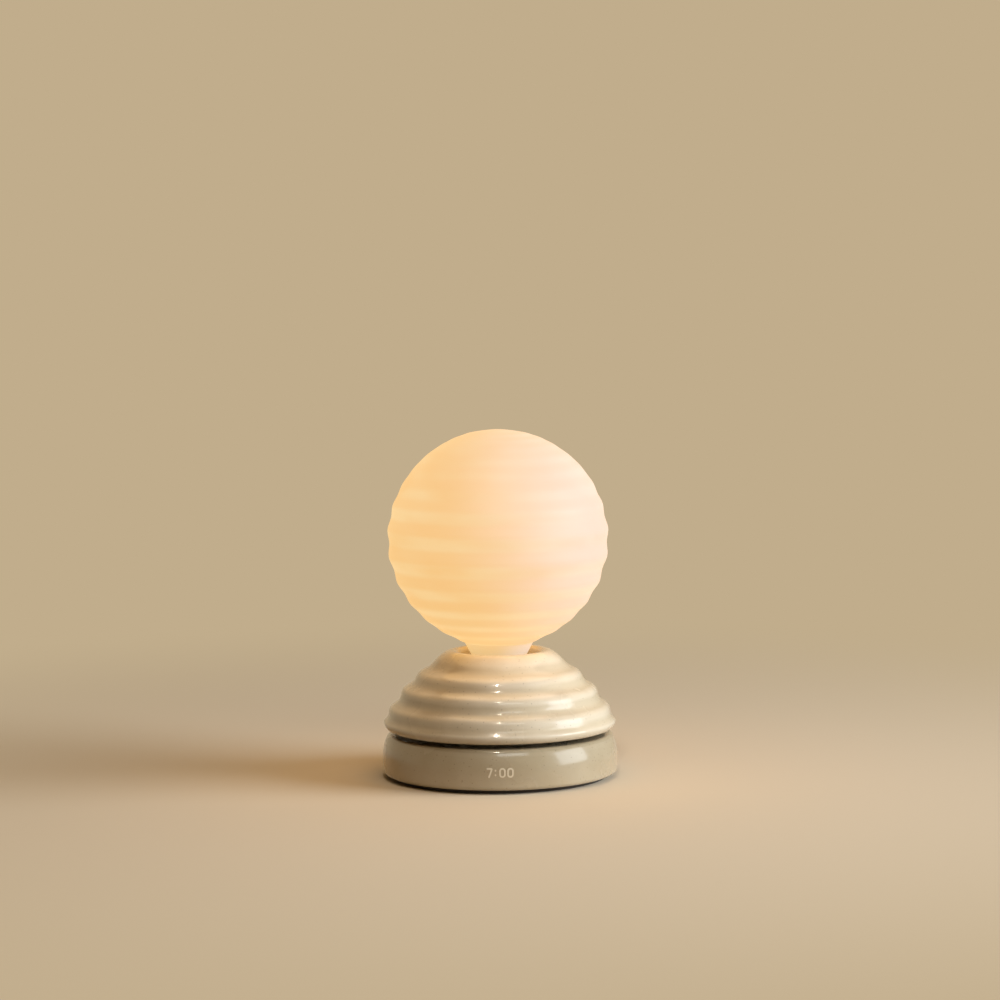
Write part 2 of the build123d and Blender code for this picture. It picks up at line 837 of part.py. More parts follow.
slot_low = carrier_low - press_travel - clip_thickness
with BuildPart() as column:
    with BuildSketch(Plane.XZ):
        with BuildLine():
            Polyline(
                (cable_hole_radius, base_top),
                (column_flange_radius, base_top),
                (column_flange_radius, flange_top),
                (column_outer, flange_top),
                (column_outer, column_top),
                (column_inner, column_top),
                (column_inner, ledge_top),
                (ledge_inner, ledge_top),
                (ledge_inner, ledge_top - ledge_thickness),
                (column_inner, ledge_top - ledge_thickness),
                (column_inner, flange_top),
                (cable_hole_radius, flange_top),
                close=True,
            )
        make_face()
    revolve(axis=Axis.Z)
    with BuildSketch(Plane.XY.offset(flange_top)):
        with PolarLocations(spring_circle, 3, start_angle=60):
            Circle(spring_radius - spring_wire / 2 - fit_gap)
    extrude(amount=spring_post_height)
    with BuildSketch(Plane.XY.offset(base_top)):
        with PolarLocations(column_screw_circle, 4, start_angle=45):
            Circle(screw_radius + fit_gap)
        with Locations((dial_cable_x, 0)):
            Circle(cable_radius + 2 * fit_gap)
    extrude(amount=column_flange_thickness, mode=Mode.SUBTRACT)
    with BuildSketch(Plane.XY.offset(carrier_top)):
        Circle(column_outer + clip_bite)
        Circle(column_outer - clip_bite, mode=Mode.SUBTRACT)
    extrude(amount=clip_thickness + running_gap, mode=Mode.SUBTRACT)
    with BuildSketch(Plane.XY.offset(slot_low)):
        with Locations((0, column_outer)):
            Rectangle(key_width, 2 * key_depth)
    extrude(amount=carrier_top - slot_low, mode=Mode.SUBTRACT)
    with BuildSketch(Plane.XY.offset(column_top)):
        with PolarLocations(collar_screw_circle, 3, start_angle=30):
            Circle(small_screw_hole)
    extrude(amount=-collar_shoulder, mode=Mode.SUBTRACT)

with BuildPart() as column_screws:
    with Locations((0, 0, flange_top)):
        with PolarLocations(column_screw_circle, 4, start_angle=45):
            add(screw(screw_radius, screw_head_radius, screw_head_height, flange_top - chassis_low))

with BuildPart() as stop_clip:
    add(clip(column_outer - clip_bite, carrier_top))

# Press carrier: slides down the column against the springs, and carries the dome

with BuildPart() as press_carrier:
    with BuildSketch(Plane.XZ):
        with BuildLine():
            Polyline(
                (carrier_bore, carrier_low),
                (carrier_flange_radius, carrier_low),
                (carrier_flange_radius, carrier_flange_top),
                (sleeve_outer, carrier_flange_top),
                (sleeve_outer, carrier_top),
                (carrier_bore, carrier_top),
                close=True,
            )
        make_face()
    revolve(axis=Axis.Z)
    with BuildSketch(Plane.XY.offset(hub_clip_low)):
        Circle(sleeve_outer + clip_bite)
        Circle(sleeve_outer - clip_bite, mode=Mode.SUBTRACT)
    extrude(amount=clip_thickness, mode=Mode.SUBTRACT)
    with BuildSketch(Plane.XY.offset(carrier_low)):
        with Locations((0, carrier_bore + sleeve_wall / 3)):
            Rectangle(
                key_width - 2 * fit_gap,
                key_depth + sleeve_wall / 3 - fit_gap,
                align=(Align.CENTER, Align.MAX),
            )
    extrude(amount=hub_height)

with BuildPart() as bearing_washer:
    with BuildSketch(Plane.XY.offset(carrier_flange_top)):
        Circle(carrier_flange_radius - washer_margin)
        Circle(sleeve_outer + fit_gap, mode=Mode.SUBTRACT)
    extrude(amount=washer_thickness)

with BuildPart() as hub_clip:
    add(clip(sleeve_outer - clip_bite, hub_clip_low))

spring_rise = spring_height - spring_wire
with BuildPart() as single_spring:
    with BuildLine() as coil:
        Helix(spring_rise / spring_turns, spring_rise, spring_radius)
    with BuildSketch(Plane(origin=coil.line @ 0, z_dir=coil.line % 0)):
        Circle(spring_wire / 2)
    sweep(path=coil.line)
with BuildPart() as return_springs:
    with Locations((0, 0, flange_top + spring_wire / 2)):
        with PolarLocations(spring_circle, 3, start_angle=60):
            add(single_spring.part)

# Snooze switch and turn sensor, on a small board beside the column

dial_board_inner = snooze_x - switch_side / 2 - fit_gap
dial_board_outer = magnet_ring_outer
dial_board_top = flange_top + small_board_thickness
with BuildPart() as dial_board:
    with BuildSketch(Plane.XY.offset(flange_top)):
        with Locations(((dial_board_inner + dial_board_outer) / 2, 0)):
            RectangleRounded(dial_board_outer - dial_board_inner, dial_board_width, small_board_corner)
    extrude(amount=small_board_thickness)

switch_top = carrier_low - press_travel - fit_gap
with BuildPart() as snooze_switch:
    with BuildSketch(Plane.XY.offset(dial_board_top)):
        with Locations((snooze_x, 0)):
            RectangleRounded(switch_side, switch_side, switch_corner)
    extrude(amount=switch_top - dial_board_top)
    with BuildSketch(Plane.XY.offset(switch_top)):
        with Locations((snooze_x, 0)):
            Circle(plunger_radius + fit_gap / 2)
    extrude(amount=dial_board_top + fit_gap - switch_top, mode=Mode.SUBTRACT)

with BuildPart() as snooze_plunger:
    with Locations((snooze_x, 0, carrier_low)):
        Cylinder(plunger_radius, carrier_low - dial_board_top - press_travel - 2 * fit_gap, align=DOWN)

sensor_x = (magnet_ring_inner + magnet_ring_outer) / 2
sensor_top = web_low - magnet_ring_thickness - press_travel - sensor_gap
with BuildPart() as turn_sensor:
    with Locations((sensor_x, 0, dial_board_top)):
        Box(sensor_length, sensor_width, sensor_top - dial_board_top, align=UP)
    chamfer(turn_sensor.edges().group_by(Axis.Z)[-1], length=0.4)

with BuildPart() as dial_cable:
    with Locations((dial_cable_x, 0, board_top + board_boss_length - fit_gap)):
        Cylinder(cable_radius, flange_top - board_top - board_boss_length + fit_gap, align=UP)

# Dome

crest = (dome_crest_radius, dome_crest_z)
lip_side = (dome_radius, arc_low[1])
lip_inside = dome_radius - lip_thickness
throat_outer = throat_radius + rim_round
skirt_top = (lip_inside, dome_inside_height(lip_inside, dome_wall))
throat_top = (throat_outer, dome_inside_height(throat_outer, dome_wall))
ripple_turns = [half / 2 for half in range(2 * ridge_count - 1)]
ridges = [
    dome_point(first_ridge + ridge_pitch * turn, -dome_ripple if turn % 1 else dome_ripple)
    for turn in ripple_turns
]
with BuildPart() as dome_shell:
    with BuildSketch(Plane.XZ) as dome_section:
        with BuildLine():
            Spline(crest, *ridges, lip_side, tangents=((1, 0), (0, -1)))
            lip = CenterArc((dome_radius - lip_round, lip_side[1]), lip_round, 0, -90)
            Polyline(lip @ 1, (lip_inside, dome_low), skirt_top)
            dome_arc(skirt_top, throat_top, dome_wall)
            Polyline(
                throat_top,
                (throat_outer, dome_crest_z - throat_depth),
                (throat_radius, dome_crest_z - throat_depth),
                (throat_radius, dome_crest_z - rim_round),
            )
            CenterArc((dome_crest_radius, dome_crest_z - rim_round), rim_round, 180, -90)
        make_face()
        fillet(dome_section.vertices().sort_by_distance((lip_inside, dome_low))[0], radius=lip_inner_round)
    revolve(axis=Axis.Z)

rim_low = (dome_inside(web_low, dome_wall + glue_gap), web_low)
rim_high_z = web_top + liner_rim_height
rim_high = (dome_inside(rim_high_z, dome_wall + glue_gap), rim_high_z)
with BuildPart() as dome_liner:
    with BuildSketch(Plane.XZ):
        with BuildLine():
            Polyline(
                (rim_low[0], rim_low[1]),
                (hub_outer, web_low),
                (hub_outer, hub_low),
                (hub_bore, hub_low),
                (hub_bore, hub_top),
                (hub_outer, hub_top),
                (hub_outer, web_top),
                (rim_high[0] - liner_rim_wall, web_top),
                (rim_high[0] - liner_rim_wall, rim_high_z),
                rim_high,
            )
            dome_arc(rim_high, rim_low, dome_wall + glue_gap)
        make_face()
    revolve(axis=Axis.Z)
    rib_length = rim_high[0] - liner_rim_wall - hub_outer
    with PolarLocations(hub_outer + rib_length / 2, liner_ribs):
        with Locations((0, 0, web_top)):
            Box(rib_length + 2 * liner_rib_bite, liner_rib_thickness, liner_rib_height, align=UP)
    web_hole_circle = (magnet_ring_outer + rim_high[0] - liner_rim_wall) / 2
    with BuildSketch(Plane.XY.offset(web_low)):
        with PolarLocations(web_hole_circle, liner_ribs, start_angle=180 / liner_ribs):
            Circle(web_hole_radius)
    extrude(amount=web_thickness, mode=Mode.SUBTRACT)

bead_low_z = web_low + web_thickness / 2
bead_gap = fit_gap / 3
bead_ends = [
    (dome_inside(z, dome_wall + inset), z)
    for inset in (bead_gap, glue_gap - bead_gap)
    for z in (bead_low_z, rim_high_z - web_thickness / 2)
]
with BuildPart() as dome_adhesive:
    with BuildSketch(Plane.XZ):
        with BuildLine():
            dome_arc(bead_ends[0], bead_ends[1], dome_wall + bead_gap)
            Line(bead_ends[1], bead_ends[3])
            dome_arc(bead_ends[3], bead_ends[2], dome_wall + glue_gap - bead_gap)
            Line(bead_ends[2], bead_ends[0])
        make_face()
    revolve(axis=Axis.Z)

with BuildPart() as magnet_ring:
    with BuildSketch(Plane.XY.offset(web_low)):
        Circle(magnet_ring_outer)
        Circle(magnet_ring_inner, mode=Mode.SUBTRACT)
    extrude(amount=-magnet_ring_thickness)

# Light engine on the column

with BuildPart() as heat_sink:
    with Locations((0, 0, column_top)):
        Cylinder(column_inner - fit_gap, heat_sink_plate, align=DOWN)
    with Locations((0, 0, ledge_top)):
        Cylinder(heat_sink_core, heat_sink_height, align=UP)
    fin_length = column_inner - 2 * fit_gap - heat_sink_core / 2
    with PolarLocations(heat_sink_core / 2 + fin_length / 2, heat_sink_fins):
        with Locations((0, 0, ledge_top)):
            Box(fin_length, fin_thickness, heat_sink_height, align=UP)
    with Locations((0, 0, column_top)):
        Hole(cable_radius + fit_gap, 2 * heat_sink_height)

with BuildPart() as led_cable:
    with Locations((0, 0, board_top + board_boss_length - fit_gap)):
        Cylinder(cable_radius, column_top - board_top - board_boss_length + fit_gap, align=UP)

with BuildPart() as led_board:
    with BuildSketch(Plane.XY.offset(column_top)):
        Circle(ledge_inner + fit_gap)
        with PolarLocations(led_screw_circle, 2):
            Circle(small_screw_hole, mode=Mode.SUBTRACT)
    extrude(amount=small_board_thickness)

with BuildPart() as led_chips:
    with BuildSketch(Plane.XY.offset(led_board_top)):
        Rectangle(led_side, led_side)
        with PolarLocations(led_circle, 6, start_angle=30):
            Rectangle(led_side, led_side)
    extrude(amount=led_height)

with BuildPart() as led_screws:
    with Locations((0, 0, led_board_top)):
        with PolarLocations(led_screw_circle, 2):
            add(screw(small_screw_radius, small_head_radius, small_head_height, small_board_thickness))

with BuildPart() as light_guide:
    with BuildSketch(Plane.XZ):
        with BuildLine():
            outside = Polyline(
                (guide_radius - guide_wall, led_board_top),
                (guide_flange, led_board_top),
                (guide_flange, led_board_top + guide_flange_height),
                (guide_radius, led_board_top + guide_flange_height),
                (guide_radius, led_board_top + guide_height - guide_radius),
            )
            CenterArc((0, led_board_top + guide_height - guide_radius), guide_radius, 0, 90)
            Line((0, led_board_top + guide_height), (0, led_board_top + guide_height - guide_wall))
            CenterArc(
                (0, led_board_top + guide_height - guide_radius),
                guide_radius - guide_wall,
                90,
                -90,
            )
            Line(
                (guide_radius - guide_wall, led_board_top + guide_height - guide_radius),
                outside @ 0,
            )
        make_face()
    revolve(axis=Axis.Z)

# Collar that holds the globe

with BuildPart() as globe_collar:
    with BuildSketch(Plane.XZ):
        with BuildLine():
            Polyline(
                (ledge_inner + 2 * fit_gap, column_top),
                (collar_outer, column_top),
                (collar_outer, collar_top),
                (neck_radius + fit_gap, collar_top),
                (neck_radius + fit_gap, shoulder_z),
                (guide_flange + fit_gap, shoulder_z),
                (guide_flange + fit_gap, led_board_top),
                (ledge_inner + 2 * fit_gap, led_board_top),
                close=True,
            )
        make_face()
    revolve(axis=Axis.Z)
    chamfer(globe_collar.edges().group_by(Axis.Z)[-1], length=0.4)
    with Locations((0, 0, collar_top)):
        with PolarLocations(collar_screw_circle, 3, start_angle=30):
            CounterBoreHole(
                small_screw_hole,
                small_head_radius + fit_gap / 2,
                small_head_height,
                collar_top - column_top,
            )

with BuildPart() as collar_screws:
    with Locations((0, 0, collar_top - small_head_height)):
        with PolarLocations(collar_screw_circle, 3, start_angle=30):
            add(
                screw(
                    small_screw_radius,
                    small_head_radius,
                    small_head_height,
                    collar_top - small_head_height - column_top + collar_shoulder - fit_gap,
                )
            )

with BuildPart() as globe_seal:
    with BuildSketch(Plane.XY.offset(shoulder_z)):
        Circle(neck_radius)
        Circle(guide_flange + fit_gap, mode=Mode.SUBTRACT)
    extrude(amount=seal_thickness)

# Globe

ripple_steps = [half / 2 for half in range(-2 * ripples_above, 2 * ripples_below + 1)]
neck_corner = (neck_corner_radius, neck_low + neck_corner_height)
hollow_globe = globe_radius * globe_squash - globe_wall
throat_z = globe_z - sqrt(hollow_globe**2 - globe_throat**2)
with BuildPart() as globe:
    with BuildSketch(Plane.XZ) as globe_section:
        with BuildLine():
            skin = Spline(
                globe_point(0, 0),
                *[globe_ripple(step) for step in ripple_steps],
                neck_corner,
                tangents=((1, 0), (-globe_rise + neck_corner_height, -neck_corner_radius)),
            )
            neck = Polyline(
                skin @ 1,
                (neck_radius, neck_low + neck_length),
                (neck_radius, neck_low),
                (neck_radius - neck_wall, neck_low),
                (neck_radius - neck_wall, neck_low + neck_length),
                (globe_throat, throat_z),
            )
            cavity = ThreePointArc(neck @ 1, (hollow_globe, globe_z), (0, globe_z + hollow_globe))
            Line(cavity @ 1, skin @ 0)
        make_face()
        fillet(globe_section.vertices().sort_by_distance(neck_corner)[0], radius=neck_corner_round)
    revolve(axis=Axis.Z)

pieces = {
    "foot_ring": foot_ring,
    "bottom_cover": bottom_cover,
    "base_shell": base_shell,
    "shell_gasket": shell_gasket,
    "chassis": chassis,
    "cover_screws": cover_screws,
    "ballast_ring": ballast_ring,
    "main_board": main_board,
    "board_screws": board_screws,
    "board_chips": board_chips,
    "board_capacitors": board_capacitors,
    "clock_crystal": clock_crystal,
    "cell_holder": cell_holder,
    "backup_cell": backup_cell,
    "led_plug": led_plug,
    "dial_plug": dial_plug,
    "power_socket": power_socket,
    "socket_tongue": socket_tongue,
    "speaker_gasket": speaker_gasket,
    "speaker_frame": speaker_frame,
    "speaker_magnet": speaker_magnet,
    "speaker_surround": speaker_surround,
    "speaker_cone": speaker_cone,
    "voice_coil": voice_coil,
    "display_board": display_board,
    "display_leds": display_leds,
    "light_mask": light_mask,
    "display_diffuser": display_diffuser,
    "rear_panel": rear_panel,
    "button_board": button_board,
    "button_switches": button_switches,
    "light_button": light_button,
    "sound_button": sound_button,
    "alarm_button": alarm_button,
    "column": column,
    "column_screws": column_screws,
    "stop_clip": stop_clip,
    "press_carrier": press_carrier,
    "bearing_washer": bearing_washer,
    "hub_clip": hub_clip,
    "return_springs": return_springs,
    "dial_board": dial_board,
    "snooze_switch": snooze_switch,
    "snooze_plunger": snooze_plunger,
    "turn_sensor": turn_sensor,
    "dial_cable": dial_cable,
    "dome_shell": dome_shell,
    "dome_liner": dome_liner,
    "dome_adhesive": dome_adhesive,
    "magnet_ring": magnet_ring,
    "heat_sink": heat_sink,
    "led_cable": led_cable,
    "led_board": led_board,
    "led_chips": led_chips,
    "led_screws": led_screws,
    "light_guide": light_guide,
    "globe_collar": globe_collar,
    "collar_screws": collar_screws,
    "globe_seal": globe_seal,
    "globe": globe,
}

os.makedirs("parts", exist_ok=True)
for name, piece in pieces.items():
    piece.part.label = name
    export_step(piece.part, f"parts/{name}.step")
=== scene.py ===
import json
from functools import partial
from math import asin, atan2, ceil, cos, degrees, dist, hypot, pi, radians, sin, sqrt, tan

import bmesh
import bpy
import numpy as np
from mathutils import Matrix, Vector, noise


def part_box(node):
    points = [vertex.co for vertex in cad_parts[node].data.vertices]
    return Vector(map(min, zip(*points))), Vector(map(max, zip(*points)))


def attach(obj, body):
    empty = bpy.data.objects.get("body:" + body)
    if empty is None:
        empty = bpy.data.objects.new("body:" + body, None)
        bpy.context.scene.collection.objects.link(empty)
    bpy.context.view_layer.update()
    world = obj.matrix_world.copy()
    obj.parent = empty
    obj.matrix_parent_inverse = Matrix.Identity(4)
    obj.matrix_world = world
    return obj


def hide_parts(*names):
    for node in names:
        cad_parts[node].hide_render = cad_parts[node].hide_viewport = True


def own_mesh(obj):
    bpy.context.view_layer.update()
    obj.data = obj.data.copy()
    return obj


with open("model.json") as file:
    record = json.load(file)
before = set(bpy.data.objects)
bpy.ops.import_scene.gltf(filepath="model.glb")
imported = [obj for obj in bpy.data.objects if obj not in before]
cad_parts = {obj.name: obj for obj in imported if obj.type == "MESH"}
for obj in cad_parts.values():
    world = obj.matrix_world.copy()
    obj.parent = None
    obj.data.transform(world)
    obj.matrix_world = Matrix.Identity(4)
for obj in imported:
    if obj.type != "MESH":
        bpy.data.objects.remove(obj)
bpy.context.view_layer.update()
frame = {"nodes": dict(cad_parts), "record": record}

bl_info = {
    "name": "Wake-up light",
    "version": (1, 0, 0),
    "blender": (4, 5, 0),
    "location": "3D View > Sidebar > Wake-up light",
    "description": "Dresses the wake-up light: glazed dome and base, opal globe, display and inner works",
    "category": "Add Mesh",
}

# Sizes are in millimetres and points of a half-section are (radius, height), as in the CAD source.
MM = 0.001
TURN_SEGMENTS = 256
SKIN_STEP = 0.8
ON_AXIS = 1e-6
SQUARE = ((-1, -1), (1, -1), (1, 1), (-1, 1))


def corners_of(node):
    """Lowest and highest corner of a CAD node, in millimetres."""
    low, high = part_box(node)
    return low / MM, high / MM


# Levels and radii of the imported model
(base_least, base_most), (dome_least, dome_most) = corners_of("base_shell"), corners_of("dome_shell")
base_low, base_top, base_radius = base_least.z, base_most.z, base_most.x
dome_low, dome_crest, dome_radius = dome_least.z, dome_most.z, dome_most.x
neck_low = corners_of("globe")[0].z

# How uneven each form came out, its two sizes of swell, the smaller one's share, and a shift that keeps
# the swells mostly below the plain form
globe_uneven, dome_uneven, base_uneven = 0.22, 0.3, 0.16
broad_swell, small_swell, small_share, swell_shift, swell_flatness = 33, 12, 0.45, 0.35, 1.6
# Points of a section this far below the plain form belong to its inside
inside_depth = 1.2

# Base
base_wall = 3.5
base_edge_round = 2.5
side_top = base_low + 10.5
shoulder_radius = 24.0
shoulder_round = 3.0
spigot_hole = 12.0
window_wall = 1.2
window_half_width = 10.6
window_half_height = 5.65
display_height = 13.2
opening_half_width = 22.0
opening_half_height = 5.6
opening_round = 2.0
opening_depth = 11.0
controls_height = 13.27

# Digits: where the seven starts, bends and ends, the colon, the middles of the two noughts and their width
seven_start, seven_bend, seven_end = -7.4, -4.75, -6.45
colon_across, colon_up = -2.75, 1.35
nought_middles, nought_width, nought_round = (1.25, 5.85), 4.1, 1.35
digit_proud, digit_sunk, digit_step = 0.04, 0.35, 0.2

# Buttons and speaker
button_radius = 3.2
button_flange = 0.8
button_reach = 3.4
button_stem = 1.2
gasket_width = 3.0

# Return springs under the press carrier
spring_radius = 4.0
spring_wire = 0.6
spring_coils = 4
spring_places = (60, 180, 300)

# Dome
dome_wall = 3.2
dome_arc_radius = 94.9
dome_crest_radius = 27.4
crest_dip = 0.37
lip_proud = 0.19
ridge_lead = 0.185
ridge_share = 0.221
ridge_count = 4
# Shares of the ripple depth: the ridges grow from the crest to the lip
first_ridge, last_ridge = 0.6, 1.55
lip_hollow = 0.935
rim_round = 3.0
throat_depth = 11.6
lip_round = 3.8
lip_thickness = 6.4
lip_inner_round = 1.0

# Globe
globe_radius = 65.2
globe_squash = 0.99
globe_wall = 2.8
neck_radius = 15.5
neck_wall = 2.5
neck_length = 8.8
neck_corner = (20.5, neck_low + 18.3)
neck_corner_round = 1.5
widest_angle = 92.0
# Above (-1) and below (1) the widest ring: the first ripple's angle, how much narrower each next one is,
# their number, the least share of their depth near the pole, and how fast they fade towards it
ripple_rows = {-1: (13.9, 0.5, 8, 0.1, 12), 1: (15.3, 0.6, 5, 0.25, 4)}
globe_centre = neck_corner[1] + sqrt(globe_radius**2 - neck_corner[0] ** 2)


def linear(hex_colour):
    """An sRGB hex colour as linear red, green, blue and alpha."""
    shares = [int(hex_colour[at : at + 2], 16) / 255 for at in (1, 3, 5)]
    return tuple(s / 12.92 if s <= 0.04045 else ((s + 0.055) / 1.055) ** 2.4 for s in shares) + (1.0,)


def colour_property(name, description, hex_colour):
    """A colour that the user can change."""
    return bpy.props.FloatVectorProperty(
        name=name, description=description, default=linear(hex_colour), subtype="COLOR", size=4, min=0, max=1
    )


def length_property(name, description, millimetres):
    """A length that the user can change, kept in metres."""
    return bpy.props.FloatProperty(
        name=name, description=description, default=millimetres * MM,
        subtype="DISTANCE", unit="LENGTH", min=0, precision=5,
    )


class WakelightGlobeSettings(bpy.types.PropertyGroup):
    """What a user may change on the opal globe."""

    ripple_depth: length_property("Ripple depth", "Height of the widest ripples over the plain globe", 0.6)
    glass_colour: colour_property("Glass", "Colour that the unlit glass scatters back", "#5f7698")
    # Painted shade: the deep glow goes on the ripples' upward faces and the pale glow on their downward faces
    glow_deep: colour_property("Deep glow", "Colour of the light through the thicker glass", "#f3bf76")
    glow_pale: colour_property("Pale glow", "Colour of the light through the thinner glass", "#f5cd8e")
    glow_strength: bpy.props.FloatProperty(
        name="Glow", description="Brightness of the lit glass", min=0, max=5, default=1.0
    )


class WakelightDomeSettings(bpy.types.PropertyGroup):
    """What a user may change on the glazed dome."""

    ripple_depth: length_property("Ripple depth", "Height of the ridges over the plain dome", 0.72)
    glaze_colour: colour_property("Glaze", "Colour of the glaze where it lies evenly", "#e9dbc5")
    pooled_colour: colour_property("Pooled glaze", "Colour of the glaze where it gathers", "#d3c2a6")
    speck_colour: colour_property("Specks", "Colour of the iron specks", "#6d573f")


class WakelightBaseSettings(bpy.types.PropertyGroup):
    """What a user may change on the glazed base."""

    glaze_colour: colour_property("Glaze", "Colour of the glaze where it lies evenly", "#c1b39c")
    # On the base the pooled colour also lies along the top edge as painted shade under the dome's lip
    pooled_colour: colour_property("Pooled glaze", "Colour of the glaze where it gathers", "#ab9b7f")
    speck_colour: colour_property("Specks", "Colour of the iron specks", "#5f4a34")


class WakelightDisplaySettings(bpy.types.PropertyGroup):
    """What a user may change on the time display."""

    digit_height: length_property("Digit height", "Height of the digits", 6.0)
    stroke_width: length_property("Stroke", "Width of the digits' strokes", 1.3)
    glow_colour: colour_property("Glow", "Colour of the digits behind the glaze", "#f4e2c4")
    glow_strength: bpy.props.FloatProperty(
        name="Glow strength", description="Brightness of the digits", min=0, max=5, default=0.3
    )


class WakelightStudioSettings(bpy.types.PropertyGroup):
    """What a user may change in the studio."""

    floor_colour: colour_property("Floor", "Colour of the floor under the light", "#e6d6bf")
    backdrop_colour: colour_property("Backdrop", "Colour of the floor far away and behind", "#c1ad8c")
    key_power: bpy.props.FloatProperty(
        name="Key light", description="Power of the large soft light", subtype="POWER", unit="POWER",
        min=0, default=82.0,
    )


# Lines and meshes


def smooth_line(points, first, last):
    """Points along the smooth curve through the given ones, clamped to the directions at its ends."""
    knots = np.array(points, float)
    strides = np.diff(knots, axis=0)
    chords = np.linalg.norm(strides, axis=1)
    system, wanted = np.zeros((len(knots),) * 2), np.zeros(knots.shape)
    system[0, 0] = system[-1, -1] = 1
    wanted[0], wanted[-1] = Vector(first).normalized(), Vector(last).normalized()
    for at in range(1, len(knots) - 1):
        before, after = chords[at - 1], chords[at]
        system[at, at - 1 : at + 2] = 1 / before, 2 / before + 2 / after, 1 / after
        wanted[at] = 3 * (strides[at - 1] / before**2 + strides[at] / after**2)
    slopes = np.linalg.solve(system, wanted)
    line = []
    for at, chord in enumerate(chords):
        steps = max(2, ceil(chord / SKIN_STEP))
        for gone in np.arange(steps) / steps:
            left = 1 - gone
            start = left**2 * ((1 + 2 * gone) * knots[at] + gone * chord * slopes[at])
            end = gone**2 * ((1 + 2 * left) * knots[at + 1] - left * chord * slopes[at + 1])
            line.append(tuple(start + end))
    return line + [tuple(knots[-1])]


def arc(centre, radius, start, end):
    """Points of an arc from one angle to another, in degrees."""
    steps = max(4, ceil(abs(radians(end - start)) * radius / SKIN_STEP))
    return [
        (centre[0] + radius * cos(radians(angle)), centre[1] + radius * sin(radians(angle)))
        for angle in np.linspace(start, end, steps + 1)
    ]


def rounded(corners):
    """Points of a line with its corners rounded; a corner is (radius, height) and perhaps its rounding."""
    line = []
    for at, (x, z, *rounding) in enumerate(corners):
        corner = Vector((x, z))
        if not rounding:
            line.append((x, z))
            continue
        back = (Vector(corners[at - 1][:2]) - corner).normalized()
        ahead = (Vector(corners[(at + 1) % len(corners)][:2]) - corner).normalized()
        half = back.angle(ahead) / 2
        centre = corner + (back + ahead).normalized() * rounding[0] / sin(half)
        reach = rounding[0] / tan(half)
        start, end = corner + back * reach - centre, corner + ahead * reach - centre
        sweep = start.angle_signed(end)
        steps = max(4, ceil(abs(sweep) / radians(9)))
        for share in range(steps + 1):
            line.append(tuple(centre + Matrix.Rotation(-sweep * share / steps, 2) @ start))
    return line


def shade_smooth(mesh, sharp_angle):
    """Smooth the shading, but keep the edges that are sharper than an angle."""
    mesh.shade_smooth()
    mesh.set_sharp_from_angle(angle=radians(sharp_angle))


def add_object(name, data):
    """A new object in the scene."""
    made = bpy.data.objects.new(name, data)
    bpy.context.scene.collection.objects.link(made)
    return made


def piece_from(name, vertices, faces, sharp_angle=40):
    """A smooth-shaded object from points in millimetres, its normals outwards."""
    mesh = bpy.data.meshes.new(name)
    mesh.from_pydata((np.array(vertices) * MM).tolist(), [], faces)
    build = bmesh.new()
    build.from_mesh(mesh)
    bmesh.ops.recalc_face_normals(build, faces=build.faces)
    build.to_mesh(mesh)
    build.free()
    shade_smooth(mesh, sharp_angle)
    return add_object(name, mesh)


def lathe(name, section, uneven=None, relief=None, sharp_angle=40):
    """A closed section turned about Z. Its ends close it on the axis, or else it is a ring.

    uneven(point) is the depth of the hand-made unevenness there. relief lists how far each point of the
    section stands over the plain form, and the mesh keeps that and its tilt for the glaze and the glass.
    """
    line = np.array(section, float)
    reliefs = np.array(relief or np.zeros(len(line)))
    along = np.roll(line, -1, axis=0) - np.roll(line, 1, axis=0)
    gaps = np.linalg.norm(along, axis=1)
    tilts = (np.roll(reliefs, -1) - np.roll(reliefs, 1)) / gaps
    across = np.stack((-along[:, 1], along[:, 0]), 1) / gaps[:, None]
    if np.sum(across * (line - line.mean(0))) < 0:
        across = -across
    vertices, values, rows = [], [], []
    for (radius, height), outward, value, tilt in zip(line, across, reliefs, tilts):
        centred = radius < ON_AXIS
        depth = uneven((radius, height)) if uneven and not centred else 0.0
        first = len(vertices)
        for side in range(1 if centred else TURN_SEGMENTS):
            angle = side * 2 * pi / TURN_SEGMENTS
            push = 0.0
            if depth:
                spot = Vector((radius * cos(angle), radius * sin(angle), swell_flatness * height))
                small = small_share * noise.noise(spot / small_swell)
                push = depth * (noise.noise(spot / broad_swell) + small - swell_shift)
            wide, high = radius + push * outward[0], height + push * outward[1]
            vertices.append((wide * cos(angle), wide * sin(angle), high))
            values.append((value + push, 0.0 if centred else tilt))
        rows.append([first] * TURN_SEGMENTS if centred else range(first, len(vertices)))
    faces = []
    for this, other in zip(rows, rows[1:] + rows[:1]):
        for side in range(TURN_SEGMENTS):
            turn = (side + 1) % TURN_SEGMENTS
            # A point on the axis counts once, so it makes a triangle, or no face with another
            face = tuple(dict.fromkeys((this[side], other[side], other[turn], this[turn])))
            if len(face) > 2:
                faces.append(face)
    made = piece_from(name, vertices, faces, sharp_angle)
    if relief:
        for title, numbers in zip(("relief", "tilt"), zip(*values)):
            made.data.attributes.new(title, "FLOAT", "POINT").data.foreach_set("value", numbers)
    return made


def tube_faces(first, rows, size, closed=False):
    """Faces over rows of points that match one another, from a first point on.

    The rows close on themselves, or else faces shut both ends.
    """
    faces = []
    for row in range(rows if closed else rows - 1):
        this, other = first + row * size, first + (row + 1) % rows * size
        for at in range(size):
            after = (at + 1) % size
            faces.append((this + at, other + at, other + after, this + after))
    if not closed:
        last = first + rows * size
        faces += [tuple(range(first, first + size)), tuple(range(last - size, last))]
    return faces


def prism(name, *loops):
    """A closed block through loops of points that match one another."""
    vertices = [point for loop in loops for point in loop]
    return piece_from(name, vertices, tube_faces(0, len(loops), len(loops[0])))


